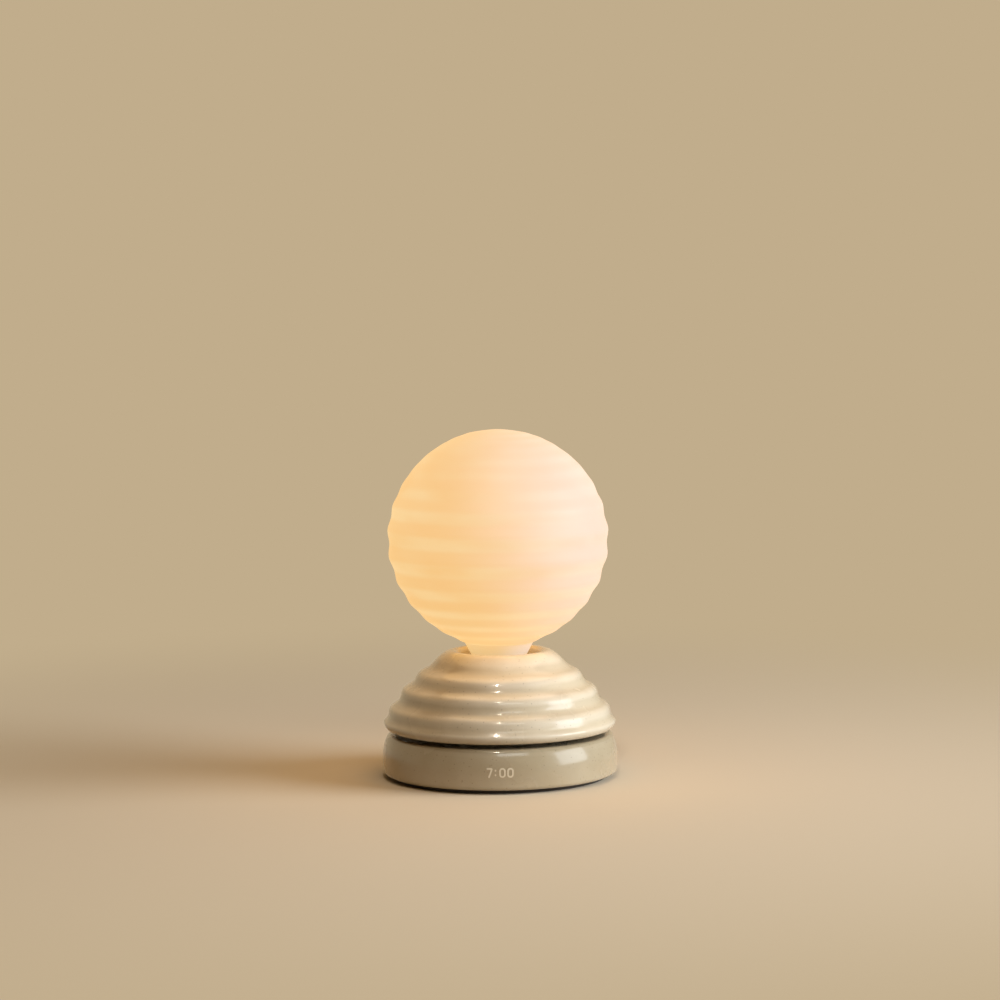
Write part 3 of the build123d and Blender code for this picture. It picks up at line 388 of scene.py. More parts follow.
def cut_away(piece, *cutters):
    """Take the cutters out of a piece and remove them."""
    for cutter in cutters:
        modifier = piece.modifiers.new("cut", "BOOLEAN")
        modifier.operation, modifier.solver, modifier.object = "DIFFERENCE", "EXACT", cutter
    depsgraph = bpy.context.evaluated_depsgraph_get()
    cut_mesh = bpy.data.meshes.new_from_object(piece.evaluated_get(depsgraph))
    piece.modifiers.clear()
    piece.data = cut_mesh
    for cutter in cutters:
        bpy.data.objects.remove(cutter)
    shade_smooth(cut_mesh, 30)


# Materials


def add_node(tree, kind, inputs, output=0, **settings):
    """Add a shader node with its settings, set or link its inputs, and give one of its outputs."""
    made = tree.nodes.new("ShaderNode" + kind)
    for key, value in settings.items():
        setattr(made, key, value)
    for key, value in inputs.items():
        if isinstance(value, bpy.types.NodeSocket):
            tree.links.new(value, made.inputs[key])
        else:
            made.inputs[key].default_value = value
    return made.outputs[output] if made.outputs else None


# A Mix node for colours: the socket of its result and its setting
COLOURS = {"output": 2, "data_type": "RGBA"}
# A Wave texture repeats every tenth of pi units
WAVE_PERIOD = pi / 10


def blend(factor, first, second):
    """Inputs of a Mix node for two colours."""
    return {0: factor, 6: first, 7: second}


def remap(value, source, target=(0.0, 1.0)):
    """Inputs of a Map Range node that turns one span of values into another."""
    return {0: value, 1: source[0], 2: source[1], 3: target[0], 4: target[1]}


def pattern(place, millimetres, **more):
    """Inputs of a texture node with features of that size; its coordinates are in metres."""
    return {"Vector": place, "Scale": 1 / (millimetres * MM), **more}


def new_material(name):
    """A material without nodes, the function that adds some to it, and the object's own coordinates."""
    made = bpy.data.materials.new(name)
    made.use_nodes = True
    made.node_tree.nodes.clear()
    add = partial(add_node, made.node_tree)
    return made, add, add("TexCoord", {}, "Object")


def surface(add, inputs):
    """Add a material's shader and output."""
    add("OutputMaterial", {"Surface": add("BsdfPrincipled", inputs)})


def speckled_glaze(name, settings):
    """Slip-cast stoneware, dipped in a gloss glaze over iron-bearing clay and fired.

    The glaze runs thin and pale on the ridges, pools darker in the hollows, lets fine iron specks through
    and keeps a soft orange peel under a glassy surface. On the base the darker pooled colour is also laid
    along the top edge as painted shade under the dome's lip.
    """
    made, add, place = new_material(name)
    relief = add("Attribute", {}, "Fac", attribute_name="relief")
    cloud = add("TexNoise", pattern(place, 26, Detail=4.0))
    # On the base's top edge this pooling is painted shade under the dome's lip
    pool_and_shade = add("MapRange", remap(relief, (0.45, -0.5), (0.0, 0.7)))
    uneven_pool_and_shade = add("Math", {0: pool_and_shade, 1: cloud}, operation="ADD", use_clamp=True)
    pooled_and_shaded = add("MapRange", remap(uneven_pool_and_shade, (0.3, 1.1)))
    colour = add("Mix", blend(pooled_and_shaded, settings.glaze_colour, settings.pooled_colour), **COLOURS)
    # Specks 0.3 to 0.8 mm across, a few millimetres apart, and a finer peppering between them
    for spacing, radius, strength in ((2.7, 0.32, 0.75), (1.1, 0.16, 0.32)):
        cell = add("TexVoronoi", pattern(place, spacing))
        reach = radius / spacing
        mask = add("MapRange", remap(cell, (reach, reach / 2), (0.0, strength)))
        colour = add("Mix", blend(mask, colour, settings.speck_colour), **COLOURS)
    peel = add("TexNoise", pattern(place, 4.5, Detail=1.0))
    bump = add("Bump", {"Height": peel, "Distance": 0.03 * MM})
    rough = add("MapRange", remap(cloud, (0.3, 0.7), (0.2, 0.3)))
    surface(add, {
        "Base Color": colour, "Roughness": rough, "IOR": 1.5, "Normal": bump,
        "Coat Weight": 1.0, "Coat Roughness": 0.09, "Coat IOR": 1.52, "Coat Normal": bump,
    })
    return made


def opal_glass(settings):
    """Opal glass, blown into a ribbed mould and satin-etched, lit from a lamp in its neck.

    It lets orange through and scatters blue back, so it glows amber in the shade and turns pale where
    daylight falls on it. Its glow is painted shade: deeper where the ripples face up and paler where
    they face down. The etching leaves faint clouds.
    """
    made, add, place = new_material("satin_etched_opal_glass")
    tilt = add("Attribute", {}, "Fac", attribute_name="tilt")
    # Painted shade: the glow is deeper on the ripples' upward faces and paler on their downward faces
    rib_painted_shade = add("MapRange", remap(tilt, (-0.16, 0.16), (0.78, 0.22)), interpolation_type="SMOOTHSTEP")
    height = add("SeparateXYZ", {0: place}, "Z")
    cloud = add("TexNoise", pattern(place, 38, Detail=3.0))
    # Long flat patches make the painted rib shade stronger in some places than in others
    flat_place = add("VectorMath", {0: place, 1: (1, 1, 3)}, operation="MULTIPLY")
    patch = add("TexNoise", pattern(flat_place, 62, Detail=2.0))
    patchy = add("MapRange", remap(patch, (0.38, 0.62), (0.35, 1.25)))
    patchy_rib_shade = add("Math", {0: rib_painted_shade, 1: patchy}, operation="MULTIPLY")
    drift = add("Math", {0: cloud, 1: 0.5, 2: patchy_rib_shade}, operation="MULTIPLY_ADD")
    paleness_and_rib_shade = add("Math", {0: drift, 1: 0.25}, operation="SUBTRACT", use_clamp=True)
    glow = add("Mix", blend(paleness_and_rib_shade, settings.glow_deep, settings.glow_pale), **COLOURS)
    # The neck's wall is thick and its light goes up past it
    neck_levels = (neck_low * MM, (neck_corner[1] + 2) * MM)
    shade = add("MapRange", remap(height, neck_levels, (0.5, 1.0)))
    strength = add("Math", {0: shade, 1: settings.glow_strength}, operation="MULTIPLY")
    grain = add("TexNoise", pattern(place, 1.2, Detail=3.0))
    bump = add("Bump", {"Height": grain, "Distance": 0.01 * MM})
    rough = add("MapRange", remap(cloud, (0.3, 0.7), (0.45, 0.55)))
    surface(add, {
        "Base Color": settings.glass_colour, "Roughness": rough, "IOR": 1.5, "Normal": bump,
        "Emission Color": glow, "Emission Strength": strength,
    })
    return made


def glowing_digits(settings, glaze):
    """The base's glaze with lit dots behind it: strokes that glow softly and fade at their sides."""
    made, add, place = new_material("lit_glaze_of_display")
    core = add("Attribute", {}, "Fac", attribute_name="core")
    soft = add("Math", {0: core, 1: 1.4}, operation="POWER")
    strength = add("Math", {0: soft, 1: settings.glow_strength}, operation="MULTIPLY")
    cloud = add("TexNoise", pattern(place, 1.5, Detail=2.0))
    colour = add("Mix", blend(cloud, glaze.glaze_colour, glaze.pooled_colour), **COLOURS)
    surface(add, {
        "Base Color": colour, "Roughness": 0.25, "IOR": 1.5, "Coat Weight": 1.0, "Coat Roughness": 0.09,
        "Emission Color": settings.glow_colour, "Emission Strength": strength,
    })
    return made


# How a surface was made: the texture node that draws it, its inputs and settings, the output that it gives,
# and how many of its units one mark takes
SURFACE_MARKS = {
    "grain": ("TexNoise", {"Detail": 3.0}, {}, 0, 1.0),
    "cells": ("TexVoronoi", {}, {}, 0, 1.0),
    "rings": (
        "TexWave", {"Distortion": 0.4, "Detail": 2.0},
        {"wave_type": "RINGS", "rings_direction": "Z"}, 1, WAVE_PERIOD,
    ),
    "bands": (
        "TexWave", {"Distortion": 0.2}, {"wave_type": "BANDS", "bands_direction": "Z"}, 1, WAVE_PERIOD,
    ),
    "tracks": ("TexBrick", {"Mortar Size": 0.12, "Mortar Smooth": 0.2}, {"offset": 0.35}, 1, 0.5),
}

# Each row: light and dark colour, size of the colour's drift, roughness, surface mark, its size and depth
# in millimetres, and what else the shader needs. Marks finer than about 0.5 mm are drawn that coarse.
METAL = {"Metallic": 1.0}
FINISHES = {
    # Moulded silicone rubber: matt and slightly dusty, with the mould's fine spark texture
    "foot_silicone": ("#2e2319", "#241b13", 9, 0.62, "grain", 0.7, 0.02, {"Sheen Weight": 0.25}),
    # Cast clear silicone: milky and soft-edged, with a faint bloom
    "clear_silicone": (
        "#d8d4ca", "#c3beb2", 6, 0.34, "grain", 1.5, 0.01, {"Subsurface Weight": 0.2, "IOR": 1.41},
    ),
    # ABS moulded in a spark-eroded tool: even, matt and very slightly pebbled
    "black_plastic": ("#3a3026", "#2d251d", 14, 0.5, "grain", 0.8, 0.015, {"IOR": 1.54}),
    # Polycarbonate blend, moulded and half matt, warm white
    "white_plastic": ("#e4ddd0", "#d6cebf", 16, 0.42, "grain", 0.8, 0.012, {"IOR": 1.58}),
    # Acetal, moulded and waxy smooth, with faint flow marks
    "acetal": ("#ece7db", "#ddd6c7", 11, 0.3, "grain", 2.5, 0.008, {"IOR": 1.48}),
    # ABS key caps, moulded and rubbed satin by fingers
    "button_plastic": (
        "#cdbda2", "#bdac90", 5, 0.36, "grain", 0.6, 0.01, {"IOR": 1.54, "Coat Weight": 0.15},
    ),
    # Frosted polycarbonate, moulded: it scatters the lamp's light over its whole wall
    "diffuser_plastic": (
        "#f6ead6", "#ecdcc2", 8, 0.45, "grain", 0.9, 0.01,
        {"IOR": 1.58, "Emission Color": linear("#ffdca6"), "Emission Strength": 0.9},
    ),
    # Glass-fibre board under green solder resist: glossy, with raised copper tracks
    "circuit_board": (
        "#23402d", "#1b3324", 2.2, 0.28, "tracks", 3.2, 0.05, {"IOR": 1.55, "Coat Weight": 0.4},
    ),
    # Aluminium-cored board under white resist, for the lamp's light-emitting diodes
    "white_board": ("#e9e7df", "#dcd9cf", 3, 0.35, "tracks", 4.0, 0.04, {"IOR": 1.55}),
    # Transfer-moulded epoxy: charcoal and matt, with a fine sandy skin
    "chip_epoxy": ("#262626", "#1c1c1d", 3, 0.55, "grain", 0.5, 0.01, {"IOR": 1.6}),
    # Phosphor in silicone, lit: yellow, domed and waxy
    "led_phosphor": (
        "#f3cf63", "#e8bd4b", 1.2, 0.3, "grain", 0.6, 0.01,
        {"IOR": 1.41, "Emission Color": linear("#ffd596"), "Emission Strength": 4.0},
    ),
    # Drawn aluminium can with a printed sleeve's satin
    "capacitor_can": ("#b9bcc0", "#9fa2a7", 4, 0.32, "rings", 0.9, 0.01, METAL),
    # Extruded aluminium, bead-blasted and anodised: soft grey with a faint sparkle
    "anodised_aluminium": ("#a9a9a7", "#959594", 7, 0.38, "grain", 0.5, 0.015, METAL),
    # Steel, cold-formed and zinc-plated: bright, slightly blue, with faint clouding
    "zinc_steel": ("#c3c6c9", "#a8adb3", 2.5, 0.26, "rings", 0.6, 0.01, METAL),
    # Spring steel, drawn and oil-blacked: dark with a dull shine
    "spring_steel": ("#6f7072", "#56575a", 3, 0.35, "bands", 0.5, 0.008, METAL),
    # Mild steel ring, sawn from tube and phosphated: dark grey and slightly mottled
    "ballast_steel": ("#5d5c5a", "#474644", 6, 0.5, "rings", 1.2, 0.03, METAL),
    # Deep-drawn steel shell under bright nickel
    "nickel_shell": ("#c9c5bc", "#b1ada4", 3, 0.18, "grain", 0.8, 0.006, METAL),
    # Sintered ferrite: charcoal, dense and slightly granular
    "ferrite": (
        "#3b3a3b", "#2b2a2b", 2, 0.6, "cells", 0.6, 0.02, {"IOR": 2.3, "Specular IOR Level": 0.3},
    ),
    # Pressed paper pulp: dull, with matted fibres
    "cone_paper": ("#38342e", "#292621", 1.6, 0.85, "cells", 0.9, 0.05, {"Sheen Weight": 0.3}),
    # Open-cell foam, knife-cut: matt and pitted
    "foam": ("#2f2d2b", "#1f1e1d", 1.2, 0.9, "cells", 0.7, 0.12, {"Sheen Weight": 0.4}),
    # Enamelled copper wire, wound turn on turn
    "copper_winding": ("#b4643a", "#9a4f2b", 2, 0.3, "bands", 0.5, 0.05, METAL),
    # Extruded vinyl cable jacket: smooth with a slight sheen
    "cable_jacket": ("#3a3836", "#2c2a29", 5, 0.42, "grain", 1.0, 0.01, {"IOR": 1.53}),
}


def made_finish(slot):
    """A material for one of the record's plainer finishes."""
    light, dark, drift, roughness, mark, size, depth, extras = FINISHES[slot]
    made, add, place = new_material(slot)
    cloud = add("TexNoise", pattern(place, drift, Detail=4.0))
    kind, inputs, settings, output, period = SURFACE_MARKS[mark]
    texture = add(kind, pattern(place, size / period, **inputs), output, **settings)
    colour = add("Mix", blend(cloud, linear(light), linear(dark)), **COLOURS)
    worn = add("MapRange", remap(cloud, (0.25, 0.75), (0.85 * roughness, 1.15 * roughness)))
    bump = add("Bump", {"Height": texture, "Distance": depth * MM})
    surface(add, {"Base Color": colour, "Roughness": worn, "Normal": bump, **extras})
    return made


def knitted_cloth():
    """Knitted polyester: soft, dark and matt, its loops drawn 0.6 mm wide with painted shade between them, so
    that they show.
    """
    made, add, place = new_material("knitted_speaker_cloth")
    loops = pattern(place, 0.6 / WAVE_PERIOD, Distortion=0.4)
    height = 0
    for direction in ("X", "Y"):
        wave = add("TexWave", loops, "Fac", bands_direction=direction)
        height = add("Math", {0: wave, 1: height}, operation="ADD")
    # Painted shade: the cloth is darker between the loops and lighter on their tops
    shade = add("MapRange", remap(height, (0.4, 1.6)))
    colour = add("Mix", blend(shade, linear("#16130f"), linear("#3d352b")), **COLOURS)
    bump = add("Bump", {"Height": height, "Distance": 0.12 * MM})
    surface(add, {"Base Color": colour, "Roughness": 0.9, "Normal": bump, "Sheen Weight": 0.3})
    return made


def paper_floor(settings):
    """Matt paper with a fine tooth, which far away shows its own even colour to the camera and in gloss.

    Past the reach of the lamp's foot it throws hardly any light back onto the lamp.
    """
    made, add, place = new_material("matt_paper_floor")
    away = add("VectorMath", {0: place}, "Value", operation="LENGTH")
    viewed = 0
    for ray in ("Is Camera Ray", "Is Glossy Ray", "Is Transmission Ray"):
        viewed = add("Math", {0: viewed, 1: add("LightPath", {}, ray)}, operation="MAXIMUM")
    near = add("MapRange", remap(away, (0.13, 0.09)))
    lit = add("Math", {0: near, 1: viewed}, operation="MAXIMUM")
    colour = add("Mix", blend(lit, linear("#2a231b"), settings.floor_colour), **COLOURS)
    tooth = add("TexNoise", pattern(place, 1.5, Detail=3.0))
    bump = add("Bump", {"Height": tooth, "Distance": 0.04 * MM})
    paper = add("BsdfPrincipled", {"Base Color": colour, "Roughness": 0.85, "Normal": bump})
    far = add("MapRange", remap(away, (0.14, 0.75)), interpolation_type="SMOOTHSTEP")
    share = add("Math", {0: far, 1: viewed}, operation="MULTIPLY")
    even = add("Emission", {"Color": settings.backdrop_colour})
    add("OutputMaterial", {"Surface": add("MixShader", {0: share, 1: paper, 2: even})})
    return made


def dress(piece, material):
    """Give a piece one material."""
    piece.data.materials.clear()
    piece.data.materials.append(material)


def fit(piece, body, slot, material, *nodes):
    """Dress a new piece, let it ride on its body, and let it stand for CAD nodes."""
    dress(piece, material)
    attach(piece, body)
    if nodes:
        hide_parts(*nodes)


# Operators


class WAKELIGHT_OT_globe(bpy.types.Operator):
    """Make the rippled opal globe with its neck and hollow"""

    bl_idname = "wakelight.globe"
    bl_label = "Opal globe"

    def execute(self, context):
        settings = context.scene.wakelight_globe
        deepest = settings.ripple_depth / MM
        tall_radius = globe_radius * globe_squash

        def skin_point(angle, depth):
            turn = radians(angle)
            return (globe_radius + depth) * sin(turn), globe_centre + (tall_radius + depth) * cos(turn)

        turns = []
        for sign, (widest, narrowing, count, least, fading) in ripple_rows.items():
            for half in range(2 * count, 0, -1) if sign < 0 else range(2 * count + 1):
                step = half / 2
                angle = widest_angle + sign * step * (widest - narrowing * step)
                height = deepest * (least + (1 - least) * sin(radians(angle)) ** fading)
                turns.append(skin_point(angle, height if step % 1 else -height))
        away = (neck_corner[1] - globe_centre, -neck_corner[0])
        skin = smooth_line([skin_point(0, 0), *turns, neck_corner], (1, 0), away)[:-1]
        hollow = tall_radius - globe_wall
        throat_radius = neck_corner[0] - 0.8 * globe_wall
        throat_angle = asin(throat_radius / hollow)
        bend, neck_inside = neck_low + neck_length, neck_radius - neck_wall
        neck = rounded([
            skin[-1], (*neck_corner, neck_corner_round),
            (neck_radius, bend, 2.0), (neck_radius, neck_low, 0.5),
            (neck_inside, neck_low, 0.5), (neck_inside, bend, 1.0),
            (throat_radius, globe_centre - hollow * cos(throat_angle)),
        ])
        inside = arc((0, globe_centre), hollow, degrees(throat_angle) - 90, 90)
        section = skin + neck[1:] + inside[1:-1] + [(0.0, inside[-1][1])]

        def over_plain(point):
            return hypot(point[0], (point[1] - globe_centre) / globe_squash) - globe_radius

        relief = [max(-0.8, min(0.8, over_plain(point))) for point in skin]
        relief += [0.0] * (len(section) - len(skin))

        def uneven(point):
            outside = over_plain(point) > -inside_depth and point[1] > neck_corner[1] + 2
            # It fades towards the pole
            return globe_uneven * min(1.0, point[0] / 12) if outside else 0.0

        globe = lathe("opal_globe", section, uneven, relief)
        fit(globe, "shade", "opal_glass", opal_glass(settings), "globe")
        return {"FINISHED"}


class WAKELIGHT_OT_dome(bpy.types.Operator):
    """Make the glazed dome: ridges, rolled rim and thick lip"""

    bl_idname = "wakelight.dome"
    bl_label = "Glazed dome"

    def execute(self, context):
        settings = context.scene.wakelight_dome
        ripple = settings.ripple_depth / MM
        high = (dome_crest_radius, dome_crest + crest_dip)
        low = (dome_radius - lip_proud, dome_low + lip_round)
        chord = dist(high, low)
        share = sqrt(dome_arc_radius**2 - chord**2 / 4) / chord
        centre = (
            (high[0] + low[0]) / 2 - share * (high[1] - low[1]),
            (high[1] + low[1]) / 2 - share * (low[0] - high[0]),
        )

        def angle_of(point):
            return degrees(atan2(point[0] - centre[0], point[1] - centre[1]))

        def arc_point(angle, depth):
            radius, turn = dome_arc_radius + depth, radians(angle)
            return centre[0] + radius * sin(turn), centre[1] + radius * cos(turn)

        def ridge_point(place, depth):
            return arc_point(angle_of(high) + place * (angle_of(low) - angle_of(high)), depth * ripple)

        swells = np.linspace(first_ridge, last_ridge, 2 * ridge_count - 1)
        ridges = [
            ridge_point(ridge_lead + ridge_share * half / 2, (-1) ** half * swell)
            for half, swell in enumerate(swells)
        ]
        ridges.append(ridge_point(lip_hollow, -0.1))
        skin = smooth_line([(dome_crest_radius, dome_crest), *ridges, (dome_radius, low[1])], (1, 0), (0, -1))

        def under_point(radius):
            return radius, centre[1] + sqrt((dome_arc_radius - dome_wall) ** 2 - (radius - centre[0]) ** 2)

        skirt, shoulder = under_point(dome_radius - lip_thickness), under_point(dome_crest_radius)
        lip = arc((dome_radius - lip_round, low[1]), lip_round, 0, -90)
        turned_in = rounded([lip[-1], (skirt[0], dome_low, lip_inner_round), skirt])
        under = [arc_point(turn, -dome_wall) for turn in np.linspace(angle_of(skirt), angle_of(shoulder), 60)]
        throat_low, throat_radius = dome_crest - throat_depth, dome_crest_radius - rim_round
        throat = rounded([
            shoulder, (dome_crest_radius, throat_low, 0.6),
            (throat_radius, throat_low, 0.6), (throat_radius, dome_crest - rim_round),
        ])
        rim = arc((dome_crest_radius, dome_crest - rim_round), rim_round, 180, 90)
        section = skin + lip[1:] + turned_in[1:] + under[1:] + throat[1:] + rim[1:-1]

        def over_plain(point):
            return dist(point, centre) - dome_arc_radius

        relief = [
            max(-0.6, min(0.6, over_plain(point))) if over_plain(point) > -dome_wall / 2 else 0.0
            for point in section
        ]

        def uneven(point):
            outside = over_plain(point) > -inside_depth and point[1] > low[1]
            return dome_uneven if outside and point[0] < dome_radius - 0.4 else 0.0

        dome = lathe("glazed_dome", section, uneven, relief)
        fit(dome, "dial", "dome_glaze", speckled_glaze("speckled_gloss_glaze_dome", settings), "dome_shell")
        return {"FINISHED"}


def base_reach(height):
    """Radius of the base's side at a height."""
    if height <= side_top:
        return base_radius
    return base_radius - shoulder_radius + sqrt(shoulder_radius**2 - (height - side_top) ** 2)


class WAKELIGHT_OT_base(bpy.types.Operator):
    """Make the glazed base with the thin window behind the display and the opening at the back"""

    bl_idname = "wakelight.base"
    bl_label = "Glazed base"

    def execute(self, context):
        settings = context.scene.wakelight_base

        def side(inset):
            top_angle = degrees(asin((base_top - inset - side_top) / (shoulder_radius - inset)))
            return arc((base_radius - shoulder_radius, side_top), shoulder_radius - inset, 0, top_angle)

        outer, inner = side(0), side(base_wall)
        inner_radius = base_radius - base_wall
        foot = rounded([(inner_radius, base_low), (base_radius, base_low, base_edge_round), outer[0]])
        shoulder = rounded([outer[-4], (*outer[-1], shoulder_round), (spigot_hole, base_top)])
        hollow = rounded([(spigot_hole, base_top - base_wall), (*inner[-1], shoulder_round), inner[-4]])
        flat = [(radius, base_top) for radius in range(60, 13, -4)]
        section = foot[:-1] + outer[:-3] + shoulder[1:-1] + flat + [shoulder[-1]] + hollow + inner[-5::-1]

        def uneven(point):
            on_side = point[0] > base_radius - 1.5 and base_low + 4 < point[1] < base_top - 4
            return base_uneven if on_side else 0.0

        # Painted shade under the dome's lip: the top edge counts as a hollow, so it takes the darker pooled
        # glaze
        relief = [-0.6 if x > base_radius - 6 and z > base_top - 1.7 else 0.0 for x, z in section]
        base = lathe("glazed_base", section, uneven, relief)
        outline = rounded([
            (x * opening_half_width, controls_height + z * opening_half_height, opening_round)
            for x, z in SQUARE
        ])
        depths = (base_radius - opening_depth, base_radius + 2)
        opening = prism("opening", *[[(x, y, z) for x, z in outline] for y in depths])
        half_angle = asin(window_half_width / inner_radius)
        wedge = [
            (radius * sin(angle), -radius * cos(angle))
            for radius, end in ((base_radius - window_wall, half_angle), (inner_radius - 2, -half_angle))
            for angle in np.linspace(-end, end, 17)
        ]
        levels = (display_height - window_half_height, display_height + window_half_height)
        window = prism("window", *[[(x, y, z) for x, y in wedge] for z in levels])
        cut_away(base, opening, window)
        fit(base, "base", "base_glaze", speckled_glaze("speckled_gloss_glaze_base", settings), "base_shell")
        return {"FINISHED"}


class WAKELIGHT_OT_display(bpy.types.Operator):
    """Lay the glowing time on the base's side: a seven, a colon and two noughts"""

    bl_idname = "wakelight.display"
    bl_label = "Time display"

    def execute(self, context):
        settings = context.scene.wakelight_display
        width = settings.stroke_width / MM
        high = (settings.digit_height / MM - width) / 2
        wide = (nought_width - width) / 2
        # Each stroke: its corners, and whether it closes on itself
        strokes = [([(seven_start, high), (seven_bend, high, 0.25), (seven_end, -high)], False)]
        for up in (-colon_up, colon_up):
            strokes.append(([(colon_across, up - 0.05), (colon_across, up + 0.05)], False))
        for middle in nought_middles:
            strokes.append(([(middle + x * wide, z * high, nought_round) for x, z in SQUARE], True))
        # Across a stroke: share of its half width, height over the base's side, and glow
        bulge = [(row, 1 - row * row) for row in (-1.0, -0.8, -0.5, -0.2, 0.2, 0.5, 0.8, 1.0)]
        profile = [(row, digit_proud * share - 0.01, share) for row, share in bulge]
        profile += [(1.0, -digit_sunk, 0.0), (-1.0, -digit_sunk, 0.0)]
        vertices, faces, core = [], [], []
        for corners, closed in strokes:
            line = np.array(rounded(corners))
            if closed:
                line = np.vstack([line, line[:1]])
            lengths = np.concatenate([[0], np.cumsum(np.linalg.norm(np.diff(line, axis=0), axis=1))])
            marks = np.linspace(0, lengths[-1], max(3, ceil(lengths[-1] / digit_step)))
            path = np.stack([np.interp(marks, lengths, axis) for axis in line.T], 1)
            if closed:
                path = path[:-1]
                ahead = np.roll(path, -1, axis=0) - np.roll(path, 1, axis=0)
            else:
                ahead = np.gradient(path, axis=0)
            ahead /= np.linalg.norm(ahead, axis=1)[:, None]
            swell = np.ones(len(path))
            if not closed:
                # Round ends: the stroke narrows over its last half width
                beyond = np.array([1.0, 0.75, 0.5, 0.25])
                narrow = np.maximum(np.sqrt(1 - beyond**2), 0.08)
                head = path[0] - ahead[0] * width / 2 * beyond[:, None]
                tail = path[-1] + ahead[-1] * width / 2 * beyond[::-1, None]
                path = np.vstack([head, path, tail])
                ahead = np.vstack([[ahead[0]] * len(beyond), ahead, [ahead[-1]] * len(beyond)])
                swell = np.concatenate([narrow, swell, narrow[::-1]])
            faces += tube_faces(len(vertices), len(path), len(profile), closed)
            for (across, up), (step_x, step_z), share in zip(path, ahead, swell):
                for row, lift, glow in profile:
                    reach = row * width / 2 * share
                    level = up + step_x * reach + display_height
                    angle, radius = (across - step_z * reach) / base_radius, base_reach(level) + lift
                    vertices.append((radius * sin(angle), -radius * cos(angle), level))
                    core.append(glow * share)
        digits = piece_from("time_digits", vertices, faces, 60)
        digits.data.attributes.new("core", "FLOAT", "POINT").data.foreach_set("value", core)
        fit(digits, "base", "base_glaze", glowing_digits(settings, context.scene.wakelight_base))
        return {"FINISHED"}


class WAKELIGHT_OT_foot(bpy.types.Operator):
    """Mould the silicone foot ring with its grip grooves"""

    bl_idname = "wakelight.foot"
    bl_label = "Foot ring"

    def execute(self, context):
        high = corners_of("foot_ring")[1]
        outer, inner, top = high.x, high.x - 6.0, high.z
        grooves = [
            (inner + middle + side, level, 0.1)
            for middle in (1.8, 3.0, 4.2)
            for side, level in ((-0.4, 0.0), (-0.25, 0.5), (0.25, 0.5), (0.4, 0.0))
        ]
        edges = [(inner, top, 0.2), (inner, 0.0, 0.6), *grooves, (outer, 0.0, 0.6), (outer, top, 0.2)]
        foot = lathe("grip_foot", rounded(edges), sharp_angle=60)
        fit(foot, "base", "foot_silicone", made_finish("foot_silicone"), "foot_ring")
        return {"FINISHED"}


class WAKELIGHT_OT_buttons(bpy.types.Operator):
    """Mould the three push buttons at the back: dished caps on flanges, with small raised marks"""

    bl_idname = "wakelight.buttons"
    bl_label = "Push buttons"

    def execute(self, context):
        plastic = made_finish("button_plastic")
        ring = [(1.8 * cos(turn), 1.8 * sin(turn), 0.28, 0.28) for turn in np.arange(8) * pi / 4]
        marks = {
            # Middle across and up, half width and height: a lamp with rays, rising bars, a clock's hands
            "light": [*ring, (0, 0, 0.75, 0.75)],
            "sound": [(-1.3, -0.6, 0.3, 0.5), (0, -0.2, 0.3, 0.9), (1.3, 0.2, 0.3, 1.3)],
            "alarm": [*ring, (0, 0.45, 0.24, 0.7), (0.45, 0, 0.7, 0.24)],
        }
        for key, shapes in marks.items():
            node, body = key + "_button", key + "_key"
            low, high = corners_of(node)
            middle = (low + high) / 2
            face, flange, flange_radius = high.y, high.y - button_reach, high.x - middle.x
            under = flange - button_flange
            section = rounded([
                (0, face - 0.42), (1.9, face - 0.4, 1.5), (2.75, face, 0.2), (button_radius, face, 0.4),
                (button_radius, flange), (flange_radius, flange, 0.15), (flange_radius, under, 0.15),
                (button_stem, under), (button_stem, low.y, 0.2), (0, low.y),
            ])
            cap = lathe(key + "_cap", section)
            place = Matrix.Translation((middle.x * MM, 0, middle.z * MM))
            cap.data.transform(place @ Matrix.Rotation(-pi / 2, 4, "X"))
            fit(cap, body, "button_plastic", plastic, node)
            # Each mark is a low pillow that starts inside the cap
            pillow = ((1.0, -0.7), (1.0, -0.18), (0.85, -0.06), (0.4, 0.0))
            turns = np.arange(16) * pi / 8
            vertices, faces = [], []
            for across, up, half_width, half_height in shapes:
                faces += tube_faces(len(vertices), len(pillow), len(turns))
                for share, level in pillow:
                    for turn in turns:
                        reach = share / max(abs(cos(turn)), abs(sin(turn))) ** 0.5
                        x = middle.x - across - half_width * reach * cos(turn)
                        z = middle.z + up + half_height * reach * sin(turn)
                        vertices.append((x, face + level, z))
            fit(piece_from(key + "_marks", vertices, faces, 50), body, "button_plastic", plastic)
        return {"FINISHED"}


class WAKELIGHT_OT_cloth(bpy.types.Operator):
    """Stretch the speaker's cloth over the slots of the bottom cover"""

    bl_idname = "wakelight.cloth"
    bl_label = "Speaker cloth"

    def execute(self, context):
        low, high = corners_of("speaker_gasket")
        radius = high.x - gasket_width + 0.1
        # Slightly domed between the gasket's edges, as stretched cloth is
        upper, lower = (
            [(share * radius, low.z + lift - 0.1 * (1 - share**2)) for share in np.linspace(0, 1, 12)]
            for lift in (0.42, 0.17)
        )
        cloth = lathe("speaker_cloth", upper + lower[::-1])
        fit(cloth, "base", "foam", knitted_cloth())
        return {"FINISHED"}


